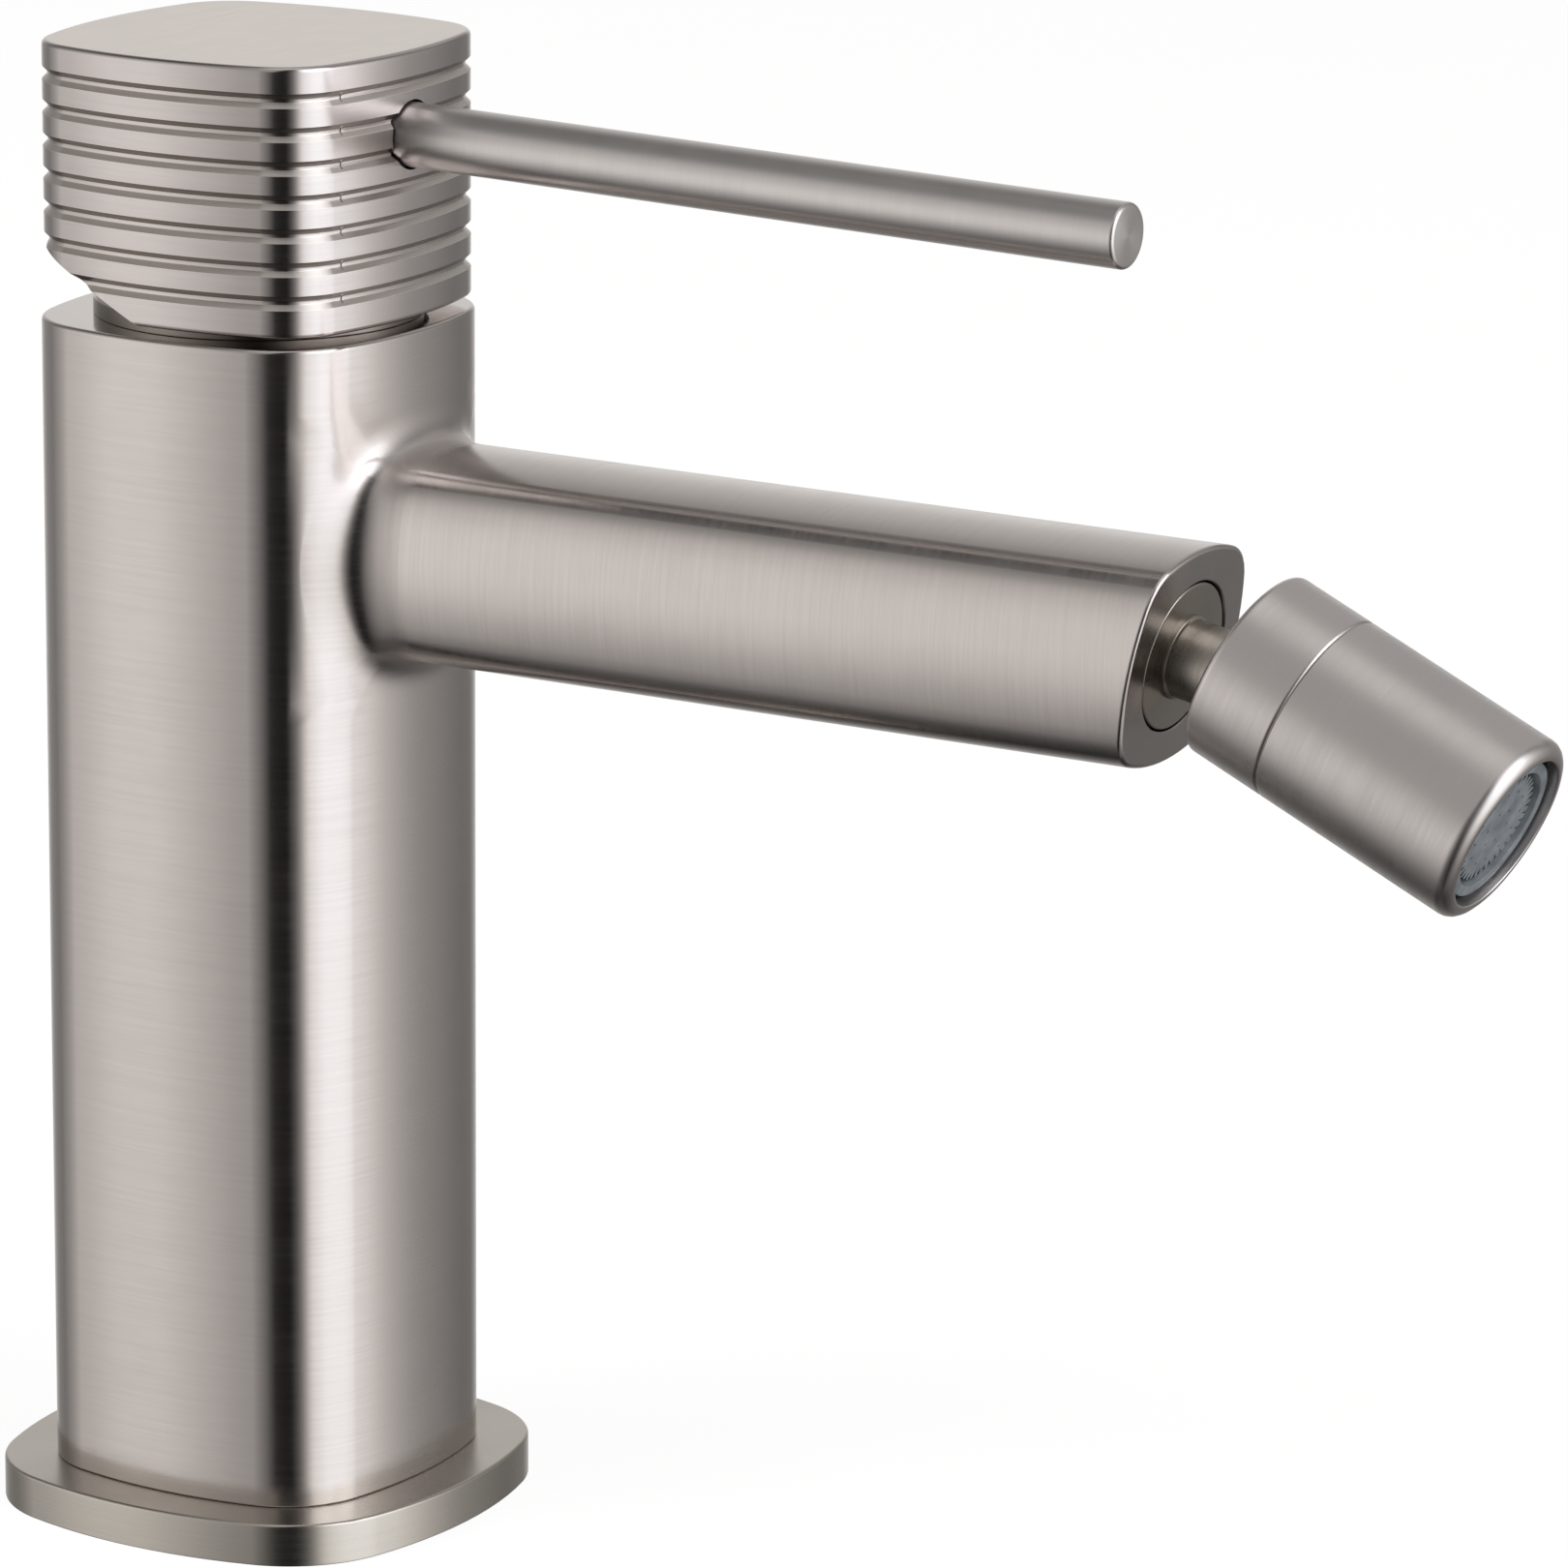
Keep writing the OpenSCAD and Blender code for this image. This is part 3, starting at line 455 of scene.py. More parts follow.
# In the spout's end: the seat of the ball stem's disc, its thread and the water way behind
insert_hole_r, insert_hole_deep, insert_chamfer = 8.25, 3.4, 0.15
thread_bore_r, thread_bore_deep = 7.02, 13.4
water_way_r, water_way_from = 5.9, 50
# x, y, radius and depth of the two hose inlets and of the stud's hole
deck_holes = ((4, 6.5, 4.5, 12), (4, -6.5, 4.5, 12), (-8, 0, 3.4, 14))
spout_end = tilted((SPOUT_REACH, 0, SPOUT_Z), SPOUT_SLANT)
spout_axis = tuple(spout_end.col[2][:3])

# Long soft reflections with faint hair lines across them, as a fine belt leaves
body_nickel = nickel("brushed nickel plate, column and spout", (0, 0, 1), 0.2, spout_side=True)
# Clear, dark reflections on the turned seat under the collar
lapped_nickel = nickel("lapped nickel plate", (0, 0, 1), 0.11, uneven=0.02, grain=0.0)
# Dull and dark beside the bright rim round it
end_nickel = nickel("faced nickel plate, spout end", spout_axis, 0.26, tone="#C6BFBB",
                    uneven=0.03, grain=0.01, spacing_mm=0.3, spread=0.2)


def wall_x(y):
    """How far out the column's spout side stands at y."""
    _, side_r, corner_r = COLUMN
    near, centre, lean = corner_of(*COLUMN)
    if abs(y) <= side_r * math.sin(lean):
        return near + math.sqrt(side_r ** 2 - y ** 2)
    return centre + math.sqrt(max(corner_r ** 2 - (abs(y) - centre) ** 2, 0))


def spout_radius(grow):
    """The reach of the spout's section by direction from its axis, for a section that has grown."""
    loop = [Vector(rounded_point(i / 720, *(v + grow for v in SPOUT))) for i in range(721)]
    table = sorted((math.atan2(p.y, p.x) % math.tau, p.length) for p in loop)
    angles = [a for a, _ in table]

    def reach(angle):
        angle %= math.tau
        k = bisect.bisect(angles, angle) % len(table)
        (a0, r0), (a1, r1) = table[k - 1], table[k]
        gap = (a1 - a0) % math.tau
        return r0 + (r1 - r0) * (((angle - a0) % math.tau) / gap if gap else 0)
    return reach


# The skin from the foot's underside up the column, over its top edge and down the bore
foot = [(spigot_r - spigot_chamfer, spigot_z), (spigot_r, spigot_z + spigot_chamfer),
        (spigot_r, ring_low), (ring_r, ring_low), (ring_r, ring_high), (spigot_r, ring_high),
        (spigot_r, COLUMN_FOOT)]
blend_rows, rows_low, rows_high = 14, SPOUT_Z - 17, SPOUT_Z + 17
rows = [rows_low + (rows_high - rows_low) * i / blend_rows for i in range(blend_rows + 1)]
loops = [round_loop(r, z, COLUMN) for r, z in foot]
loops += [rounded_loop(COLUMN, COLUMN_FOOT + drop, inset)
          for inset, drop in reversed(edge_round(foot_edge, 3))]
plain_rows = (35, 64)
first_row = len(loops) + len(plain_rows)
loops += [rounded_loop(COLUMN, z) for z in (*plain_rows, *rows)]
loops += [rounded_loop(COLUMN, COLUMN_TOP - drop, inset)
          for inset, drop in edge_round(column_edge)]
bore = [(nut_bore_r + bore_chamfer, COLUMN_TOP), (nut_bore_r, COLUMN_TOP - bore_chamfer),
        (nut_bore_r, nut_bore_floor), (cartridge_bore_r, nut_bore_floor),
        (cartridge_bore_r, cartridge_floor)]
loops += [round_loop(r, z, COLUMN) for r, z in bore]
bm = bmesh.new()
rings = loft(bm, loops)
for face in bm.faces:
    middle = face.calc_center_median()
    in_bore = middle.z > COLUMN_FOOT and middle.xy.length < nut_bore_r + 0.1
    if middle.z > COLUMN_TOP - 0.001 or in_bore:
        face.material_index = 1

# The window in the column's side where the spout leaves it, half_window points to each side,
# is drawn in to the blend's edge and out along the spout
half_window = 18
window = [rings[first_row + r][i] for r, i in
          [(0, i) for i in range(-half_window, half_window)] +
          [(r, half_window) for r in range(blend_rows)] +
          [(blend_rows, i) for i in range(half_window, -half_window, -1)] +
          [(r, -half_window) for r in range(blend_rows, 0, -1)]]
inside = {v for r in range(blend_rows + 1) for v in
          [rings[first_row + r][i] for i in range(-half_window, half_window + 1)]}
gone = [f for f in bm.faces if all(v in inside for v in f.verts)]
bmesh.ops.delete(bm, geom=gone, context="FACES")
grown_by = 3
reach_plain, reach_grown = spout_radius(0), spout_radius(grown_by)
rays = [math.atan2(v.co.z - SPOUT_Z, v.co.y) for v in window]
edges_yz = [(v.co.y, v.co.z) for v in window]
blends = [blend_top + (blend_side - blend_top) * math.cos(a) ** 2 for a in rays]


def section_point(angle, grow):
    """(y, z) on the spout's section, grown by that much, in that direction."""
    r = reach_plain(angle) + (reach_grown(angle) - reach_plain(angle)) * grow / grown_by
    return r * math.cos(angle), SPOUT_Z + r * math.sin(angle)


# On the flat of the wall: shares of the way from the window's edge to the blend's
flat_shares = (0.3, 0.6, 0.82)
ring = window
for share in flat_shares:
    places = []
    for angle, blend, (y0, z0) in zip(rays, blends, edges_yz):
        y1, z1 = section_point(angle, blend)
        y, z = y0 + (y1 - y0) * share, z0 + (z1 - z0) * share
        places.append(Vector((wall_x(y), y, z)))
    ring = extrude_loop(bm, ring, places)
# The blend is a curve of six control points from wall to spout. These place its inner ones, as
# shares of the blend's size, so that the curvature doesn't jump at either end
near_end, near_middle, blend_steps = 0.62, 0.28, 16
for i in range(blend_steps + 1):
    t = i / blend_steps
    pull = [math.comb(5, k) * t ** k * (1 - t) ** (5 - k) for k in range(6)]
    grow = pull[0] + near_end * pull[1] + near_middle * pull[2]
    out = near_middle * pull[3] + near_end * pull[4] + pull[5]
    places = []
    for angle, blend in zip(rays, blends):
        y, z = section_point(angle, blend * grow)
        places.append(Vector((wall_x(y) + blend * out, y, z)))
    ring = extrude_loop(bm, ring, places)
spout_rows = (29, 36, 62, 90)
for x in spout_rows:
    ring = extrude_loop(bm, ring, [Vector((x, *section_point(a, 0))) for a in rays])
slope = math.tan(math.radians(SPOUT_SLANT))
for inset, back in edge_round(spout_edge, 6):
    places = []
    for angle in rays:
        y, z = section_point(angle, -inset)
        places.append(Vector((SPOUT_REACH + (z - SPOUT_Z) * slope - back, y, z)))
    ring = extrude_loop(bm, ring, places)
outer_skin = set(bm.faces)
for r, s in ((insert_hole_r + insert_chamfer, 0), (insert_hole_r, -insert_chamfer),
             (insert_hole_r, -insert_hole_deep), (thread_bore_r, -insert_hole_deep),
             (thread_bore_r, -thread_bore_deep), (water_way_r, -thread_bore_deep)):
    places = [spout_end @ Vector((-r * math.sin(a), r * math.cos(a), s)) for a in rays]
    ring = extrude_loop(bm, ring, places)
ring = extrude_loop(bm, ring, [Vector((water_way_from, water_way_r * math.cos(a),
                                       SPOUT_Z + water_way_r * math.sin(a))) for a in rays])
bm.faces.new(ring)
for face in set(bm.faces) - outer_skin:
    face.material_index = 2
for x, y, r, deep in deck_holes:
    cut(bm, rod(r, 0, spigot_z + deep, Matrix.Translation((x, y, 0))))
piece("column_and_spout", bm, [body_nickel, lapped_nickel, end_nickel], "column",
      ["body"])

# Base flange. A flat bowed square ring, turned and milled from brass, that slides over the
# column's foot and hides the deck hole. A rubber gasket sits in the groove of its underside.
FLANGE = (26.7, 54, 14.4)
flange_h, flange_edge, flange_foot_edge, flange_bore_r = 4.8, 0.35, 0.2, 18.3
gasket_r, gasket_outer_r, gasket_deep = 19.55, 23.45, 1.5
loops = [round_loop(r, z, FLANGE) for r, z in
         ((gasket_r, gasket_deep), (gasket_r, 0), (flange_bore_r, 0), (flange_bore_r, flange_h))]
loops += [rounded_loop(FLANGE, flange_h - drop, inset)
          for inset, drop in reversed(edge_round(flange_edge))]
loops += [rounded_loop(FLANGE, drop, inset) for inset, drop in edge_round(flange_foot_edge, 2)]
loops += [round_loop(gasket_outer_r, z, FLANGE) for z in (0, gasket_deep)]
bm = bmesh.new()
loft(bm, loops)
caps = [f for f in bm.faces if len(f.verts) > 4]
bmesh.ops.delete(bm, geom=caps, context="FACES_ONLY")
bmesh.ops.bridge_loops(bm, edges=[e for e in bm.edges if e.is_boundary])
# A shade darker and duller than the column, with the grain running round
flange_nickel = nickel("brushed nickel plate, flange", (0, 0, 1), 0.27, tone="#CFC8BF",
                       grain=0.008, streak_mm=25)
piece("base_flange_skin", bm, [flange_nickel], "column", ["base_flange"])

# Handle block. Milled from brass bar: a bowed square with seven grooves, hollow underneath to
# clear the collar, cut off at a slant below the back so that it can tip, and bored at the front
# for the lever. Its top is left bare.
HANDLE = (20.2, 54, 7.9)
handle_bottom, handle_top, bottom_edge, top_edge = 135.5, 164.7, 0.55, 0.6
groove_first, groove_pitch, grooves = 3.62, 3.62, 7
# A groove's side from its lip down to its floor: (height from its middle, depth)
groove_side = [(0.79, 0), (0.75, 0.02), (0.24, 0.53), (0.18, 0.56)]
groove_middles = [handle_top - groove_first - k * groove_pitch for k in range(grooves)]
profile = [(handle_bottom + drop, inset) for inset, drop in reversed(edge_round(bottom_edge, 4))]
for middle in reversed(groove_middles):
    profile += [(middle - h, d) for h, d in groove_side]
    profile += [(middle + h, d) for h, d in reversed(groove_side)]
profile += [(handle_top - drop, inset) for inset, drop in edge_round(top_edge)]
bm = bmesh.new()
loft(bm, [rounded_loop(HANDLE, z, inset) for z, inset in profile])
for face in bm.faces:
    z = face.calc_center_median().z
    off_groove = min((z - middle for middle in groove_middles), key=abs)
    # The bare top takes the finish with the painted light
    if z > handle_top - 0.01:
        face.material_index = 1
    # The grooves' upper sides take the painted shade, their lower sides the painted light
    elif groove_side[-1][0] < abs(off_groove) < groove_side[0][0]:
        face.material_index = 2 if off_groove > 0 else 3


def add_prism(bm, corners, along):
    """Adds a closed prism: the flat outline of the corners, carried along."""
    face = bm.faces.new([bm.verts.new(corner) for corner in corners])
    grown = bmesh.ops.extrude_face_region(bm, geom=[face])["geom"]
    moved = [v for v in grown if isinstance(v, bmesh.types.BMVert)]
    bmesh.ops.translate(bm, vec=along, verts=moved)


# A fine upright tick crosses each groove on the lever's side, where the cutter ran in.
# Its outline is (out from the block's side, height from the groove's middle)
tick_y, tick_w = -11.5, 0.22
tick_outline = ((0.3, -1.05), (0.3, 1.05), (-0.66, 0.14), (-0.66, -0.14))
tick_turn = Matrix.Rotation(math.asin(tick_y / HANDLE[1]), 4, "Z")
tick_place = (Matrix.Translation((HANDLE[0] - HANDLE[1], 0, 0)) @ tick_turn @
              Matrix.Translation((HANDLE[1], 0, 0)))
ticks = bmesh.new()
for middle in groove_middles:
    add_prism(ticks, [tick_place @ Vector((out, -tick_w / 2, middle + h))
                      for out, h in tick_outline], tick_place.to_3x3() @ Vector((0, tick_w, 0)))
cut(bm, ticks)

# The hollow is a ball round the handle's pivot, less the boss that holds the spindle's socket
PIVOT, spindle_lean = (0, 0, 130.4), 9
spindle_place = (Matrix.Translation(PIVOT) @
                 Matrix.Rotation(math.radians(spindle_lean), 4, "Y"))
hollow_r = 19.21
boss_r, boss_from, boss_to = 7.2, 10.5, 24
socket_r, socket_from, socket_to = 5.9, 9.5, 20.8
hollow = bmesh.new()
bmesh.ops.create_uvsphere(hollow, u_segments=96, v_segments=64, radius=hollow_r,
                          matrix=Matrix.Translation(PIVOT))
cut(hollow, rod(boss_r, boss_from, boss_to, spindle_place))
cut(bm, hollow)
cut(bm, rod(socket_r, socket_from, socket_to, spindle_place))

# The slanted cut below the back starts behind the middle and rises towards the back
slant_x, slant_degrees, wedge_size = -1.85, 25.3, 60
swing_slope = (Matrix.Translation((slant_x, 0, handle_bottom)) @
               Matrix.Rotation(math.radians(slant_degrees), 4, "Y"))
wedge = bmesh.new()
in_wedge = Matrix.Translation((-wedge_size / 2, 0, -wedge_size / 2))
bmesh.ops.create_cube(wedge, size=wedge_size, matrix=swing_slope @ in_wedge)
cut(bm, wedge)

# The lever's hole and the thread behind it, and the grub screw's thread at the back. Depths are
# along the lever from the block's face, and along X from the middle
LEVER_R, lever_z, lever_droop = 3.5, 155.55, 1.44
lever_place = tilted((HANDLE[0], 0, lever_z), lever_droop)
lever_gap, hole_floor, past_face = 0.3, -11.4, 5
screw_bore_r, screw_floor, screw_top = 2.5, -18.7, -11
grub_screw_z, past_back = 148.6, -22
cut(bm, rod(LEVER_R + lever_gap, hole_floor, past_face, lever_place))
cut(bm, rod(screw_bore_r, screw_floor, screw_top, lever_place, 64))
cut(bm, rod(screw_bore_r, past_back, 0, tilted((0, 0, grub_screw_z), 0), 64))

# The ribs shine as the column does
handle_nickel = nickel("brushed nickel plate, handle", (0, 0, 1), 0.2, tone="#D9D1CE")
# The bare top is finer and even, with no line that stands out. Its lighter, warmer tone is painted
# light falling on the top
cap_nickel_painted_light = nickel("satin nickel plate, handle top, painted light", (1, 0, 0), 0.24, tone="#E9DED7",
                    uneven=0.02, grain=0.012, spacing_mm=0.3, spread=0.3)
# The grooves' sides keep the cutter's dull finish, and their tones are painted shade and painted
# light:
# the upper ones painted dark, the lower ones painted pale, so that each groove shows a dark line, a
# bright one and a grey one
groove_painted_shade = nickel("machined nickel plate, grooves' upper sides, painted shade", (0, 0, 1), 0.3,
                      tone="#8C8580", uneven=0.03, grain=0.01)
groove_painted_light = nickel("machined nickel plate, grooves' lower sides, painted light", (0, 0, 1), 0.4,
                      tone="#EFE6E0", uneven=0.03, grain=0.01)
piece("ribbed_handle", bm, [handle_nickel, cap_nickel_painted_light, groove_painted_shade, groove_painted_light], "handle",
      ["handle_block"])


# Lever. A plain brass rod, turned to a thin screw at its root, with a small round at its tip,
# and satin finished round its axis.
def soften(corners):
    """Rounds a turned outline's corners: (radius, height) or (radius, height, rounding)."""
    steps = 5
    points = []
    for i, corner in enumerate(corners):
        here = Vector(corner[:2])
        rounding = corner[2] if len(corner) > 2 else 0
        if not rounding:
            points.append(here)
            continue
        before = (Vector(corners[i - 1][:2]) - here).normalized()
        after = (Vector(corners[(i + 1) % len(corners)][:2]) - here).normalized()
        half = before.angle(after) / 2
        centre = here + (before + after).normalized() * (rounding / math.sin(half))
        start = here + before * (rounding / math.tan(half))
        end = here + after * (rounding / math.tan(half))
        sweep = (start - centre).angle_signed(end - centre)
        for k in range(steps + 1):
            points.append(centre + Matrix.Rotation(-sweep * k / steps, 2) @ (start - centre))
    return points


def turned(corners, place, segments=128):
    """Spins a closed outline of (radius, height) corners round the place's Z axis."""
    bm = bmesh.new()
    points = [bm.verts.new((max(p.x, 0), 0, p.y)) for p in soften(corners)]
    sides = [bm.edges.new((points[i - 1], v)) for i, v in enumerate(points)]
    bmesh.ops.spin(bm, geom=points + sides, cent=(0, 0, 0), axis=(0, 0, 1), angle=math.tau,
                   steps=segments, use_merge=True)
    bmesh.ops.remove_doubles(bm, verts=bm.verts, dist=MERGE_MM)
    bmesh.ops.transform(bm, matrix=place, verts=bm.verts)
    return bm


# Along the lever from the handle's face: the screw's root, its shoulder and the tip
lever_reach = 107.6
screw_r, screw_root, shoulder, lever_tip = 2.48, -18.2, -11.2, lever_reach - HANDLE[0]
lever = turned([(0, screw_root), (screw_r, screw_root, 0.3), (screw_r, shoulder),
                (LEVER_R, shoulder, 0.3), (LEVER_R, lever_tip, 0.45), (0, lever_tip)],
               lever_place)
lever_axis = tuple(lever_place.col[2][:3])
# Turned lines too fine to tell apart, so the rod shows broad, soft bands along its length
lever_nickel = nickel("satin nickel plate, lever", lever_axis, 0.32, tone="#E4DEDB", uneven=0.03,
                      grain=0.015, spacing_mm=0.35, streak_mm=9, spread=0.45)
piece("lever", lever, [lever_nickel], "handle", ["lever_rod"])

# Collar. A turned and polished brass dome that hides the cartridge's nut between column and
# handle. The dome is round about the handle's pivot, and a short straight skirt stands below it.
collar_r, dome_r, dome_z, dome_steps = 18.0, 18.91, PIVOT[2], 6
# Heights above the pivot: the skirt's top, where the dome starts, and the dome's own
skirt_h, top_h = 5.8, 10
low, high = math.acos(skirt_h / dome_r), math.acos(top_h / dome_r)
dome = [(dome_r * math.sin(a), dome_z + dome_r * math.cos(a))
        for a in [low + (high - low) * i / dome_steps for i in range(dome_steps + 1)]]
collar_inner_r, collar_step_r, collar_step_z = 13.8, 14.5, 137.6
collar = turned([(collar_step_r, COLUMN_TOP), (collar_r, COLUMN_TOP, 0.12)] + dome +
                [(collar_inner_r, dome_z + top_h), (collar_inner_r, collar_step_z),
                 (collar_step_r, collar_step_z)], Matrix(), 192)
# The skirt's outer faces take the painted shade
for face in collar.faces:
    middle = face.calc_center_median()
    if middle.z < dome_z + skirt_h and middle.xy.length > collar_r - 0.2:
        face.material_index = 1
# Nearly a mirror, and so the darkest metal on the tap
bright_nickel = nickel("bright nickel plate", (0, 0, 1), 0.12, uneven=0.02, grain=0.01,
                       spacing_mm=0.3)
# Painted shade: a dull, dark grey on the skirt, which sits in the dark gap below the handle
skirt_painted_shade = nickel("nickel plate, collar's skirt, painted shade", (0, 0, 1), 0.3, tone="#9A938D",
                      grain=0.01)
piece("domed_collar", collar, [bright_nickel, skirt_painted_shade], "column",
      ["collar"])

# Ball stem. One turned brass piece: a disc screwed into the spout's end, a stem and a ball, with
# a water way through. Heights are along its axis, from the spout's end face.
stem_water_r, stem_thread_r, stem_root = 2.6, 6.98, -12.2
disc_r, disc_back, disc_front = 8.02, -2.6, -0.08
stem_boss_r, stem_boss_front = 4.6, 0.3
stem_r, stem_back, stem_front, waist_r, waist_front = 4.25, 0.5, 8.0, 4.05, 8.69
BALL_R, BALL_CENTRE = 7, 14.4
# The ball's outline runs between these degrees off its axis, and its front is cut flat
ball_back, ball_front, ball_steps, ball_face = 145, 27.66, 24, 20.6
ball_turns = [math.radians(ball_back - (ball_back - ball_front) * i / ball_steps)
              for i in range(ball_steps + 1)]
stem = turned([(stem_water_r, stem_root), (stem_thread_r, stem_root, 0.3),
               (stem_thread_r, disc_back), (disc_r, disc_back), (disc_r, disc_front, 0.22),
               (stem_boss_r, disc_front), (stem_boss_r, stem_boss_front, 0.2), (stem_r, stem_back),
               (stem_r, stem_front), (waist_r, waist_front)] +
              [(BALL_R * math.sin(a), BALL_CENTRE + BALL_R * math.cos(a)) for a in ball_turns] +
              [(stem_water_r, ball_face)], spout_end)
# Satin, with faint turned rings round the stem
stem_nickel = nickel("satin nickel plate, ball stem", spout_axis, 0.28, tone="#BBB3AA",
                     grain=0.008, spacing_mm=0.3, streak_mm=8, spread=0.4)
piece("spout_insert_and_ball", stem, [stem_nickel], "column", ["ball_stem"])

# Nozzle. Two turned brass shells screwed together over the ball: a nut with a flared swing
# opening, and a housing that holds the aerator. Heights are along their axis, from the ball's
# centre to the mouth.
NOZZLE_R, NOZZLE_FRONT = 10.5, 25.7
ball_centre, nozzle_droop = (129.006, 0, 107.3045), 24.8
nozzle_place = tilted(ball_centre, nozzle_droop)
nozzle_axis = tuple(nozzle_place.col[2][:3])
# An even satin: broad, cloudy highlights and hardly a line
nozzle_nickel = nickel("satin nickel plate, nozzle", nozzle_axis, 0.33, tone="#E2DBD8",
                       uneven=0.08, grain=0.014, spacing_mm=0.35, streak_mm=9, spread=0.2)
seam, nut_back, nut_front = 1.8, -7.7, 7.2
nut_thread_r, nut_inner_r, opening_floor = 9.4, 8.35, -3.6
opening_r, flared_r = 6.1, 7.9
nut = turned([(NOZZLE_R, seam, 0.55), (nut_thread_r, seam), (nut_thread_r, nut_front),
              (nut_inner_r, nut_front), (nut_inner_r, opening_floor),
              (opening_r, opening_floor, 0.2), (flared_r, nut_back, 0.3),
              (NOZZLE_R, nut_back, 0.8)], nozzle_place, 160)
piece("nozzle_nut", nut, [nozzle_nickel], "nozzle", ["ball_nut"])

lip_r, lip_back, front_round = 8.65, NOZZLE_FRONT - 1.4, 1.5
chamber_r, chamber_floor = 8.9, 10.4
throat_r, throat_back, shell_thread_r = 5.5, 7.4, 9.42
shell = turned([(NOZZLE_R, seam, 0.06), (NOZZLE_R, NOZZLE_FRONT, front_round),
                (lip_r, NOZZLE_FRONT, 0.15), (lip_r, lip_back), (chamber_r, lip_back),
                (chamber_r, chamber_floor), (throat_r, chamber_floor), (throat_r, throat_back),
                (shell_thread_r, throat_back), (shell_thread_r, seam)], nozzle_place, 160)
piece("nozzle_shell", shell, [nozzle_nickel], "nozzle", ["nozzle_housing"])


# Aerator. A grey acetal insert seen in the mouth: an outer ring, and set in it a disc with a
# saw-toothed edge and pin holes, which the water leaves through.
def plastic(name, tone, other_tone, rough, grain=0.1):
    """Moulded plastic: an even colour with a faint cloudiness and a fine eroded grain."""
    made, tree = blank_material(name)
    grit_mm, uneven = 0.25, 0.08
    where = add(tree, "ShaderNodeTexCoord").outputs["Object"]
    clouds = add(tree, "ShaderNodeTexNoise", {"Vector": where, "Scale": 420.0, "Detail": 3.0})
    colour = add(tree, "ShaderNodeMix",
                 {0: clouds.outputs["Fac"], 6: linear(tone), 7: linear(other_tone)},
                 data_type="RGBA")
    grit = add(tree, "ShaderNodeTexNoise",
               {"Vector": where, "Scale": 1000 / grit_mm, "Detail": 2.0}).outputs["Fac"]
    roughness = add(tree, "ShaderNodeMapRange",
                    {0: grit, 1: 0.2, 2: 0.8, 3: rough - uneven, 4: rough + uneven})
    relief = add(tree, "ShaderNodeBump", {"Strength": grain, "Distance": 0.0001, "Height": grit})
    skin = add(tree, "ShaderNodeBsdfPrincipled",
               {"Base Color": colour.outputs[2], "Roughness": roughness, "Normal": relief})
    add(tree, "ShaderNodeOutputMaterial", {"Surface": skin})
    return made


# Dull cool grey with small cloudy patches
grey_acetal = plastic("grey moulded acetal", "#7F8489", "#303438", 0.5)
# Outside: the cage and its narrower rim. Inside: the rim, the disc's seat, the bore, and the
# recess at the back for the filter and the flow regulator
cage_r, cage_back, cage_front = 8.3, 11.6, 23.9
rim_r, rim_inner_r, rim_back, rim_front = 7.95, 6.75, 24.2, 24.9
seat_r, seat_back, seat_front = 7.0, 22.7, 23.4
cage_bore_r, recess_r, recess_front = 6.2, 7.55, 14.0
cage = turned([(cage_r, cage_back), (cage_r, cage_front, 0.1), (rim_r, rim_back),
               (rim_r, rim_front, 0.2), (rim_inner_r, rim_front, 0.15),
               (rim_inner_r, seat_front), (seat_r, seat_front), (seat_r, seat_back),
               (cage_bore_r, seat_back), (cage_bore_r, recess_front), (recess_r, recess_front),
               (recess_r, cage_back)], nozzle_place)
piece("aerator_ring", cage, [grey_acetal], "nozzle", ["aerator_cage"])

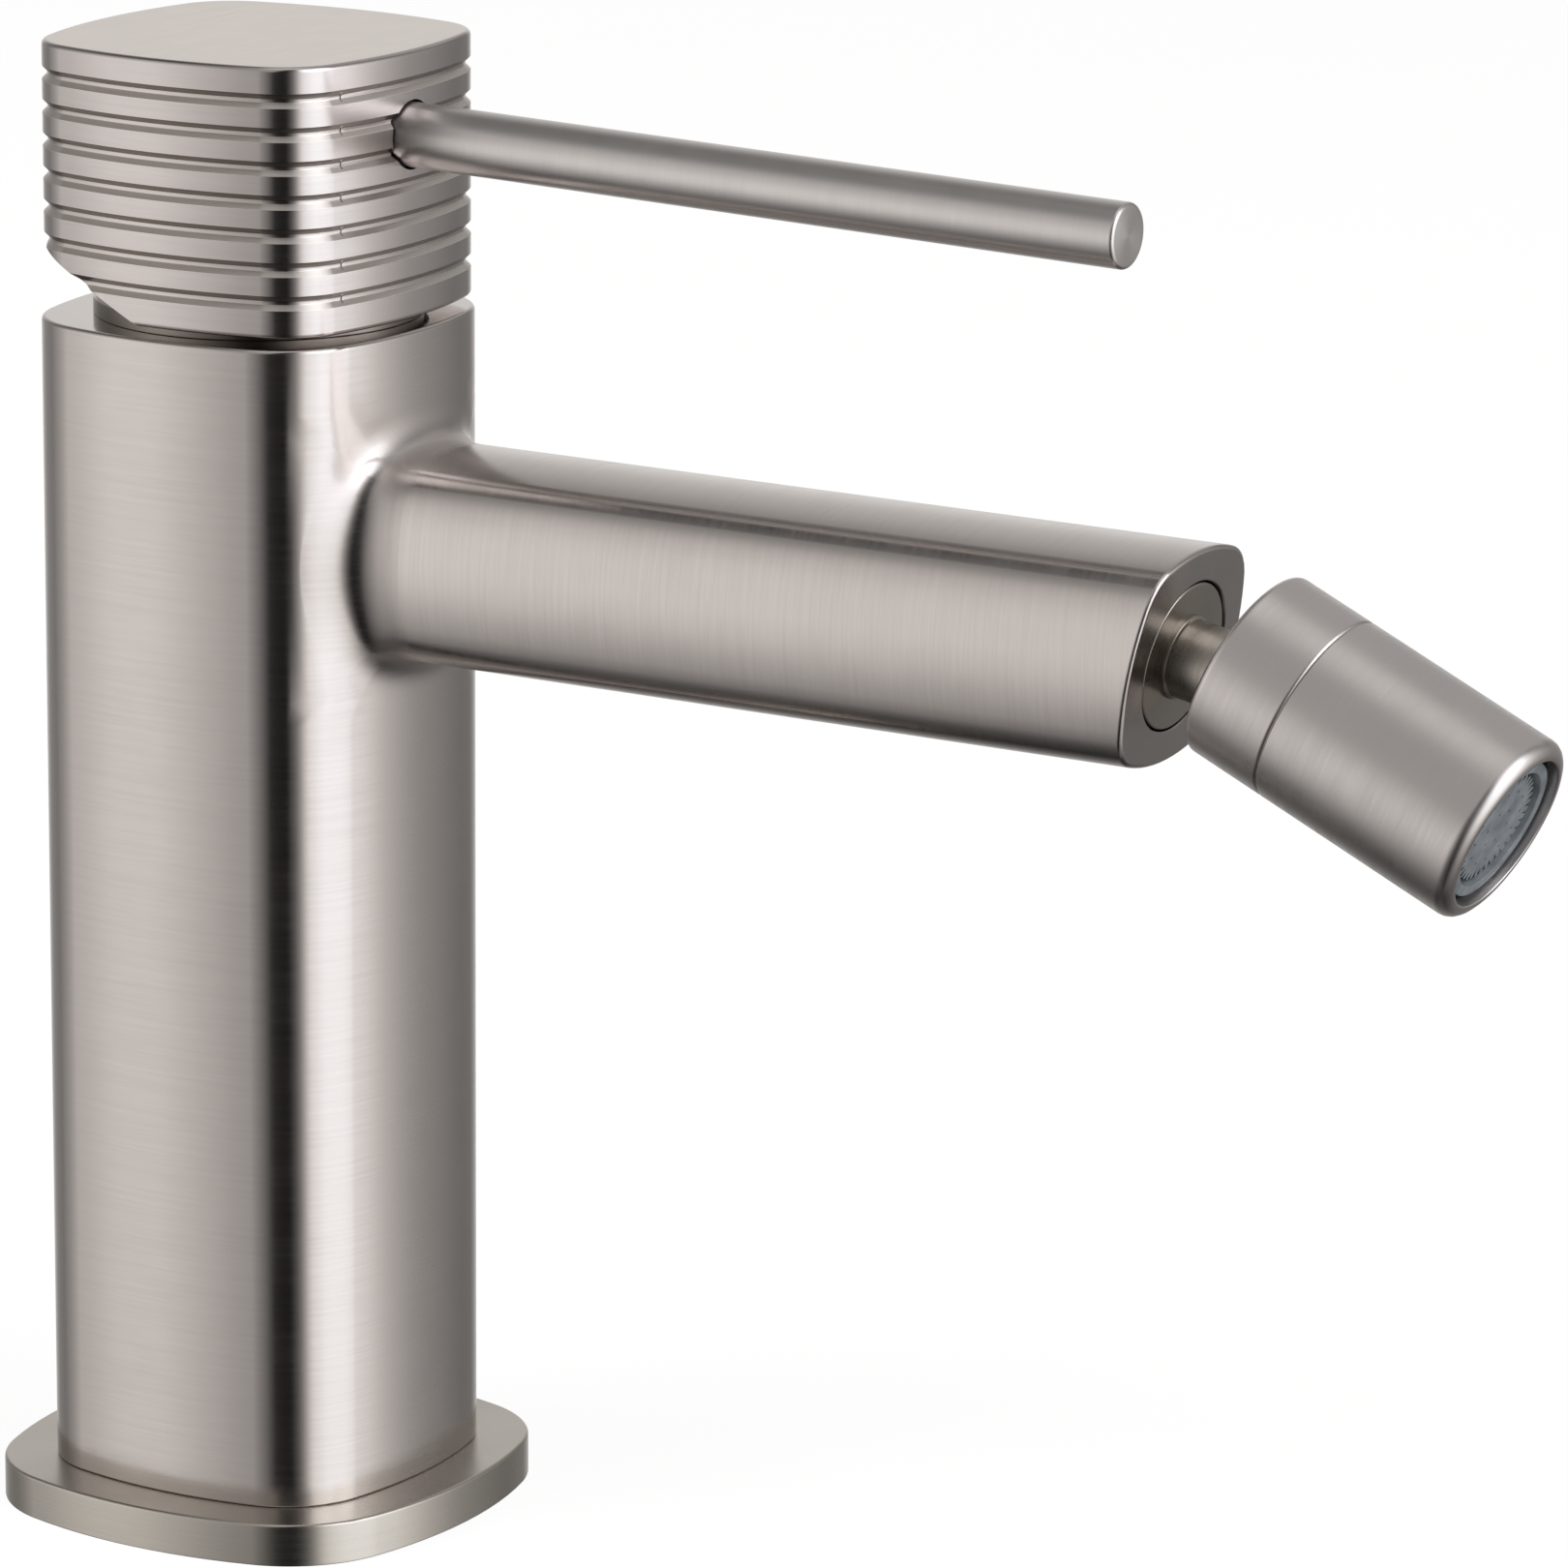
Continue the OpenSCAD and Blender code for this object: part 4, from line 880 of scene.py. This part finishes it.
disc_rim_r, disc_face_r, disc_step, disc_face = 6.95, 6.25, 23.3, 24.4
disc = turned([(0, seat_back), (disc_rim_r, seat_back), (disc_rim_r, disc_step),
               (disc_face_r, disc_step), (disc_face_r, disc_face, 0.1), (0, disc_face)],
              Matrix(), 144)
notch_count, notch_from, notch_to, notch_half, notch_z, notch_h = 38, 5.2, 6.9, 0.44, 22.6, 2
notches = bmesh.new()
for i in range(notch_count):
    place = Matrix.Rotation(math.tau * i / notch_count, 4, "Z")
    add_prism(notches, [place @ Vector(corner) for corner in
                        ((notch_from, 0, notch_z), (notch_to, -notch_half, notch_z),
                         (notch_to, notch_half, notch_z))], (0, 0, notch_h))
cut(disc, notches)
for face in disc.faces:
    radius = face.calc_center_median().xy
    outward = abs(face.normal.dot(radius.to_3d().normalized())) if radius.length > 1 else 1
    if notch_from < radius.length < notch_to and outward < 0.5 and abs(face.normal.z) < 0.5:
        face.material_index = 1
# Shallow pin holes on two circles of the face: how many, and the circle's radius
pin_r, pin_floor, pin_top = 0.18, 24.0, 24.6
pin_circles = ((12, 4.3), (6, 2.1))
for count, circle_r in pin_circles:
    for i in range(count):
        turn = Matrix.Rotation(math.tau * (i + 0.5) / count, 4, "Z")
        cut(disc, rod(pin_r, pin_floor, pin_top, turn @ Matrix.Translation((circle_r, 0, 0)), 12))
bmesh.ops.transform(disc, matrix=nozzle_place, verts=disc.verts)
# Almost black between the teeth, where little light gets in
shaded_acetal = plastic("grey moulded acetal, between the teeth", "#1E2022", "#141516", 0.6)
piece("aerator_face", disc, [grey_acetal, shaded_acetal], "nozzle",
      ["outlet_disc"])

# Seals, cartridge and the aerator's inside. They stay as built in CAD, each in its own material;
# hardly any of them shows while the mixer is whole.
# Dull near-black that shows no clear reflection
black_rubber = plastic("moulded black rubber", "#1B1B1B", "#232323", 0.7, grain=0.2)
# Warm white with a soft sheen
white_plastic = plastic("moulded white acetal", "#E4E3DF", "#DAD9D4", 0.4)
# Even deep red, as the temperature stop has so that it is found
red_plastic = plastic("moulded red acetal", "#B3251E", "#A8221C", 0.4)
# Smooth off-white with a clear highlight, as lapped discs have
ceramic = plastic("lapped alumina ceramic", "#EFEDEA", "#E8E6E2", 0.22, grain=0.02)
# Yellow metal with fine turned lines
plain_brass = nickel("machined brass", (0, 0, 1), 0.28, tone="#C9A25B")
# Neutral grey metal with fine turned lines
steel = nickel("machined stainless steel", (0, 0, 1), 0.3, tone="#B4B4B6")
by_slot = {"black_rubber": black_rubber, "white_plastic": white_plastic,
           "red_plastic": red_plastic, "ceramic": ceramic, "plain_brass": plain_brass,
           "stainless": steel, "grey_plastic": grey_acetal}
for part in frame["record"]["subparts"]:
    if part["material_slot"] in by_slot:
        for material_slot in frame["nodes"][part["node"]].material_slots:
            material_slot.material = by_slot[part["material_slot"]]

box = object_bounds()
